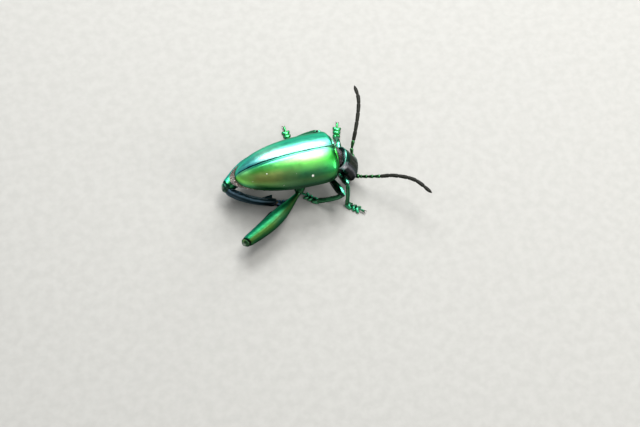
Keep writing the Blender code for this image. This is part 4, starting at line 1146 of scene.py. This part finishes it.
def leg(kind, side_name, socket, hip):
    """Ball, thigh, shin and foot of one leg, where its headings put them."""
    name = kind + "_" + side_name
    hind = kind == "hind"
    pose, sizes = LEG_POSES[name], LEG_SIZES[kind]
    along = heading(*pose["femur"])
    knee = hip + along * sizes["femur"][0]
    drop = math.degrees(math.asin((knee[2] - FOOT_HEIGHT) / sizes["tibia"][0]))
    ankle = knee + heading(pose["tibia"], -drop) * sizes["tibia"][0]
    over, shin_over = bend_side(hip, knee, ankle), bend_side(ankle, knee, hip)
    outwards = np.cross(along, UP) * (1 if side_name == "left" else -1)
    radius = HIND_COXA_RADIUS if hind else COXA_RADIUS
    share = eased(50)
    size = radius * dome(np.abs(2 * share - 1) ** (2 / 0.75), 0.002)
    reach = unit(hip - socket)
    ball = rod(socket - reach * radius, hip + reach * 0.25, UP + 0.2 * heading(0), share, size, 56)
    share = eased(24)
    size = (0.42 if hind else 0.3) * closing(share, 1.0, 0.4)
    knuckle = rod(hip - along * 0.25, hip + along * (0.9 if hind else 0.35), over, share, size, 32)
    piece(name + "_coxa_ball", belly_finish, [ball, knuckle], [name + "_coxa"])
    tip = knee + along * sizes["femur"][2] * 0.3
    femur(name, kind, hip, tip, over, outwards * (HIND_FEMUR_BOWS[side_name] if hind else 0.0))
    tibia(name, kind, knee, ankle, shin_over, shin_over * (HIND_TIBIA_BOW if hind else TIBIA_BOW))
    foot(name, kind, ankle, pose["tarsus"])
    JOINTS[name] = knee - along * sizes["tibia"][2] * 0.5, ankle, over, sizes["tibia"][2]


def joint_skins():
    """Soft folded skin, seen in the bend of each knee and where each foot leaves its shin."""
    share = eased(20)
    for name, (knee, ankle, over, shin) in JOINTS.items():
        size = dome((2 * share - 1) ** 2, 0.01) * (1 + 0.06 * np.sin(share * 40)) * shin * 0.62
        bend = knee - over * shin * 0.35
        fold = rod(bend - over * shin * 0.6, bend + over * shin * 0.4, UP, share, size, 28)
        cuff = rod(ankle + UP * 0.2, ankle - UP * 0.35, LEFT, share, size * 0.75, 28)
        piece(name + "_joint_skin", membrane_finish, [fold, cuff])


def dust():
    """Flakes of pollen and dust that cling to the wing cases."""
    shapes = []
    for side, along, around, radius in DUST:
        near = case_surface(side, np.array((along, along + 0.004)), np.array((around, around + 0.01)))
        centre = near[0, 0]
        forward, across = unit(near[1, 0] - centre), unit(near[0, 1] - centre)
        up = unit(np.cross(forward, across))
        up = up if up[2] > 0 else -up
        turn = angles(14)
        rim = radius * (1 + 0.05 * np.sin(3 * turn + 40 * around) + 0.07 * np.sin(5 * turn + 90 * along))
        disc = (np.cos(turn) * rim)[:, None] * forward + (np.sin(turn) * rim)[:, None] * across
        rows = ((0.2, -0.3), (0.95, -0.15), (1.0, 0.1), (0.72, 0.3), (0.3, 0.42))
        shapes.append(skin(np.array([centre + disc * wide + up * radius * lift for wide, lift in rows])))
    piece("dust_flakes", dust_finish, shapes)


def on_side(point, side):
    return np.array(point) * (1, side, 1)


def fore_places(side):
    """The socket and hip of a fore leg, under the neck shield."""
    ways = np.array(turned(SHIELD_YAW, SHIELD_PITCH))
    return [SHIELD_BASE + on_side(place, side) @ ways for place in (FORE_COXA, FORE_HIP)]


# The beetle

eye_finish = facet_material()
JOINTS = {}
wing_case("left", 1, case_left_finish)
wing_case("right", -1, case_right_finish)
scutellum()
abdomen()
hind_chest()
collar()
neck_shield()
head()
jaws()
mouthparts()
for side_name, side in (("left", 1), ("right", -1)):
    eye(side_name, side)
    feeler(side_name)
    leg("fore", side_name, *fore_places(side))
    leg("mid", side_name, on_side(MID_COXA, side), on_side(MID_HIP, side))
    leg("hind", side_name, on_side(HIND_COXA, side), np.array(HIND_HIPS[side_name]))
joint_skins()
dust()


# Floor, light and camera


def floor():
    mesh = bpy.data.meshes.new("floor")
    mesh.from_pydata([(-2, -2, 0), (2, -2, 0), (2, 2, 0), (-2, 2, 0)], [], [(0, 1, 2, 3)])
    # Matt card: a plain pale ground that shows the shadows and takes no shine.
    mesh.materials.append(plain("matt pale card", "B9B7B1", "B3B1AB", 1.5, {"Roughness": 0.9}, relief=0.02))
    linked("floor", mesh)


LIGHT_AIM = (-5.0, 0.0, 6.0)


def softbox(name, direction, distance, width, height, watts, tint="FFFFFF"):
    """An area light that faces the beetle from a direction."""
    light = bpy.data.lights.new(name, "AREA")
    light.shape, light.size, light.size_y = "RECTANGLE", width, height
    light.energy, light.color = watts, colour(tint)[:3]
    lamp = linked(name, light)
    direction = Vector(direction).normalized()
    lamp.location = Vector(placed(LIGHT_AIM)) + direction * distance
    lamp.rotation_euler = direction.to_track_quat("Z", "Y").to_euler()


def lights():
    softbox("high window light", (0.1, 0.6, 0.79), 0.32, 0.22, 0.13, 1.0, "FAFCFF")
    softbox("top light", (0.26, 0.14, 0.95), 0.32, 0.10, 0.13, 0.5)
    softbox("broad ceiling light", (0.2, -0.42, 0.88), 0.34, 0.3, 0.26, 0.2)
    softbox("rear light", (-0.7, 0.3, 0.63), 0.34, 0.18, 0.16, 0.07)
    softbox("low front light", (0.75, -0.5, 0.42), 0.32, 0.16, 0.12, 0.3)
    softbox("low left light", (0.7, 0.65, 0.34), 0.32, 0.14, 0.1, 0.2)
    world = bpy.data.worlds.new("studio")
    bpy.context.scene.world = world
    world.use_nodes = True
    glow = world.node_tree.nodes["Background"].inputs
    glow["Color"].default_value, glow["Strength"].default_value = colour("D4DAE0"), 0.35
    bpy.context.scene.view_settings.view_transform = "Standard"  # keeps the greens as strong as they are


CAMERA_PLACE = (-57.1467, -115.7292, 219.2874)
CAMERA_ANGLES = (28.56316, -5.01513, -16.92668)  # degrees


def camera():
    lens = bpy.data.cameras.new("camera")
    lens.lens, lens.sensor_width, lens.clip_start = 85, 36, 0.01
    thing = linked("camera", lens)
    thing.location = placed(CAMERA_PLACE)
    thing.rotation_euler = [math.radians(angle) for angle in CAMERA_ANGLES]
    bpy.context.scene.camera = thing


floor()
lights()
camera()
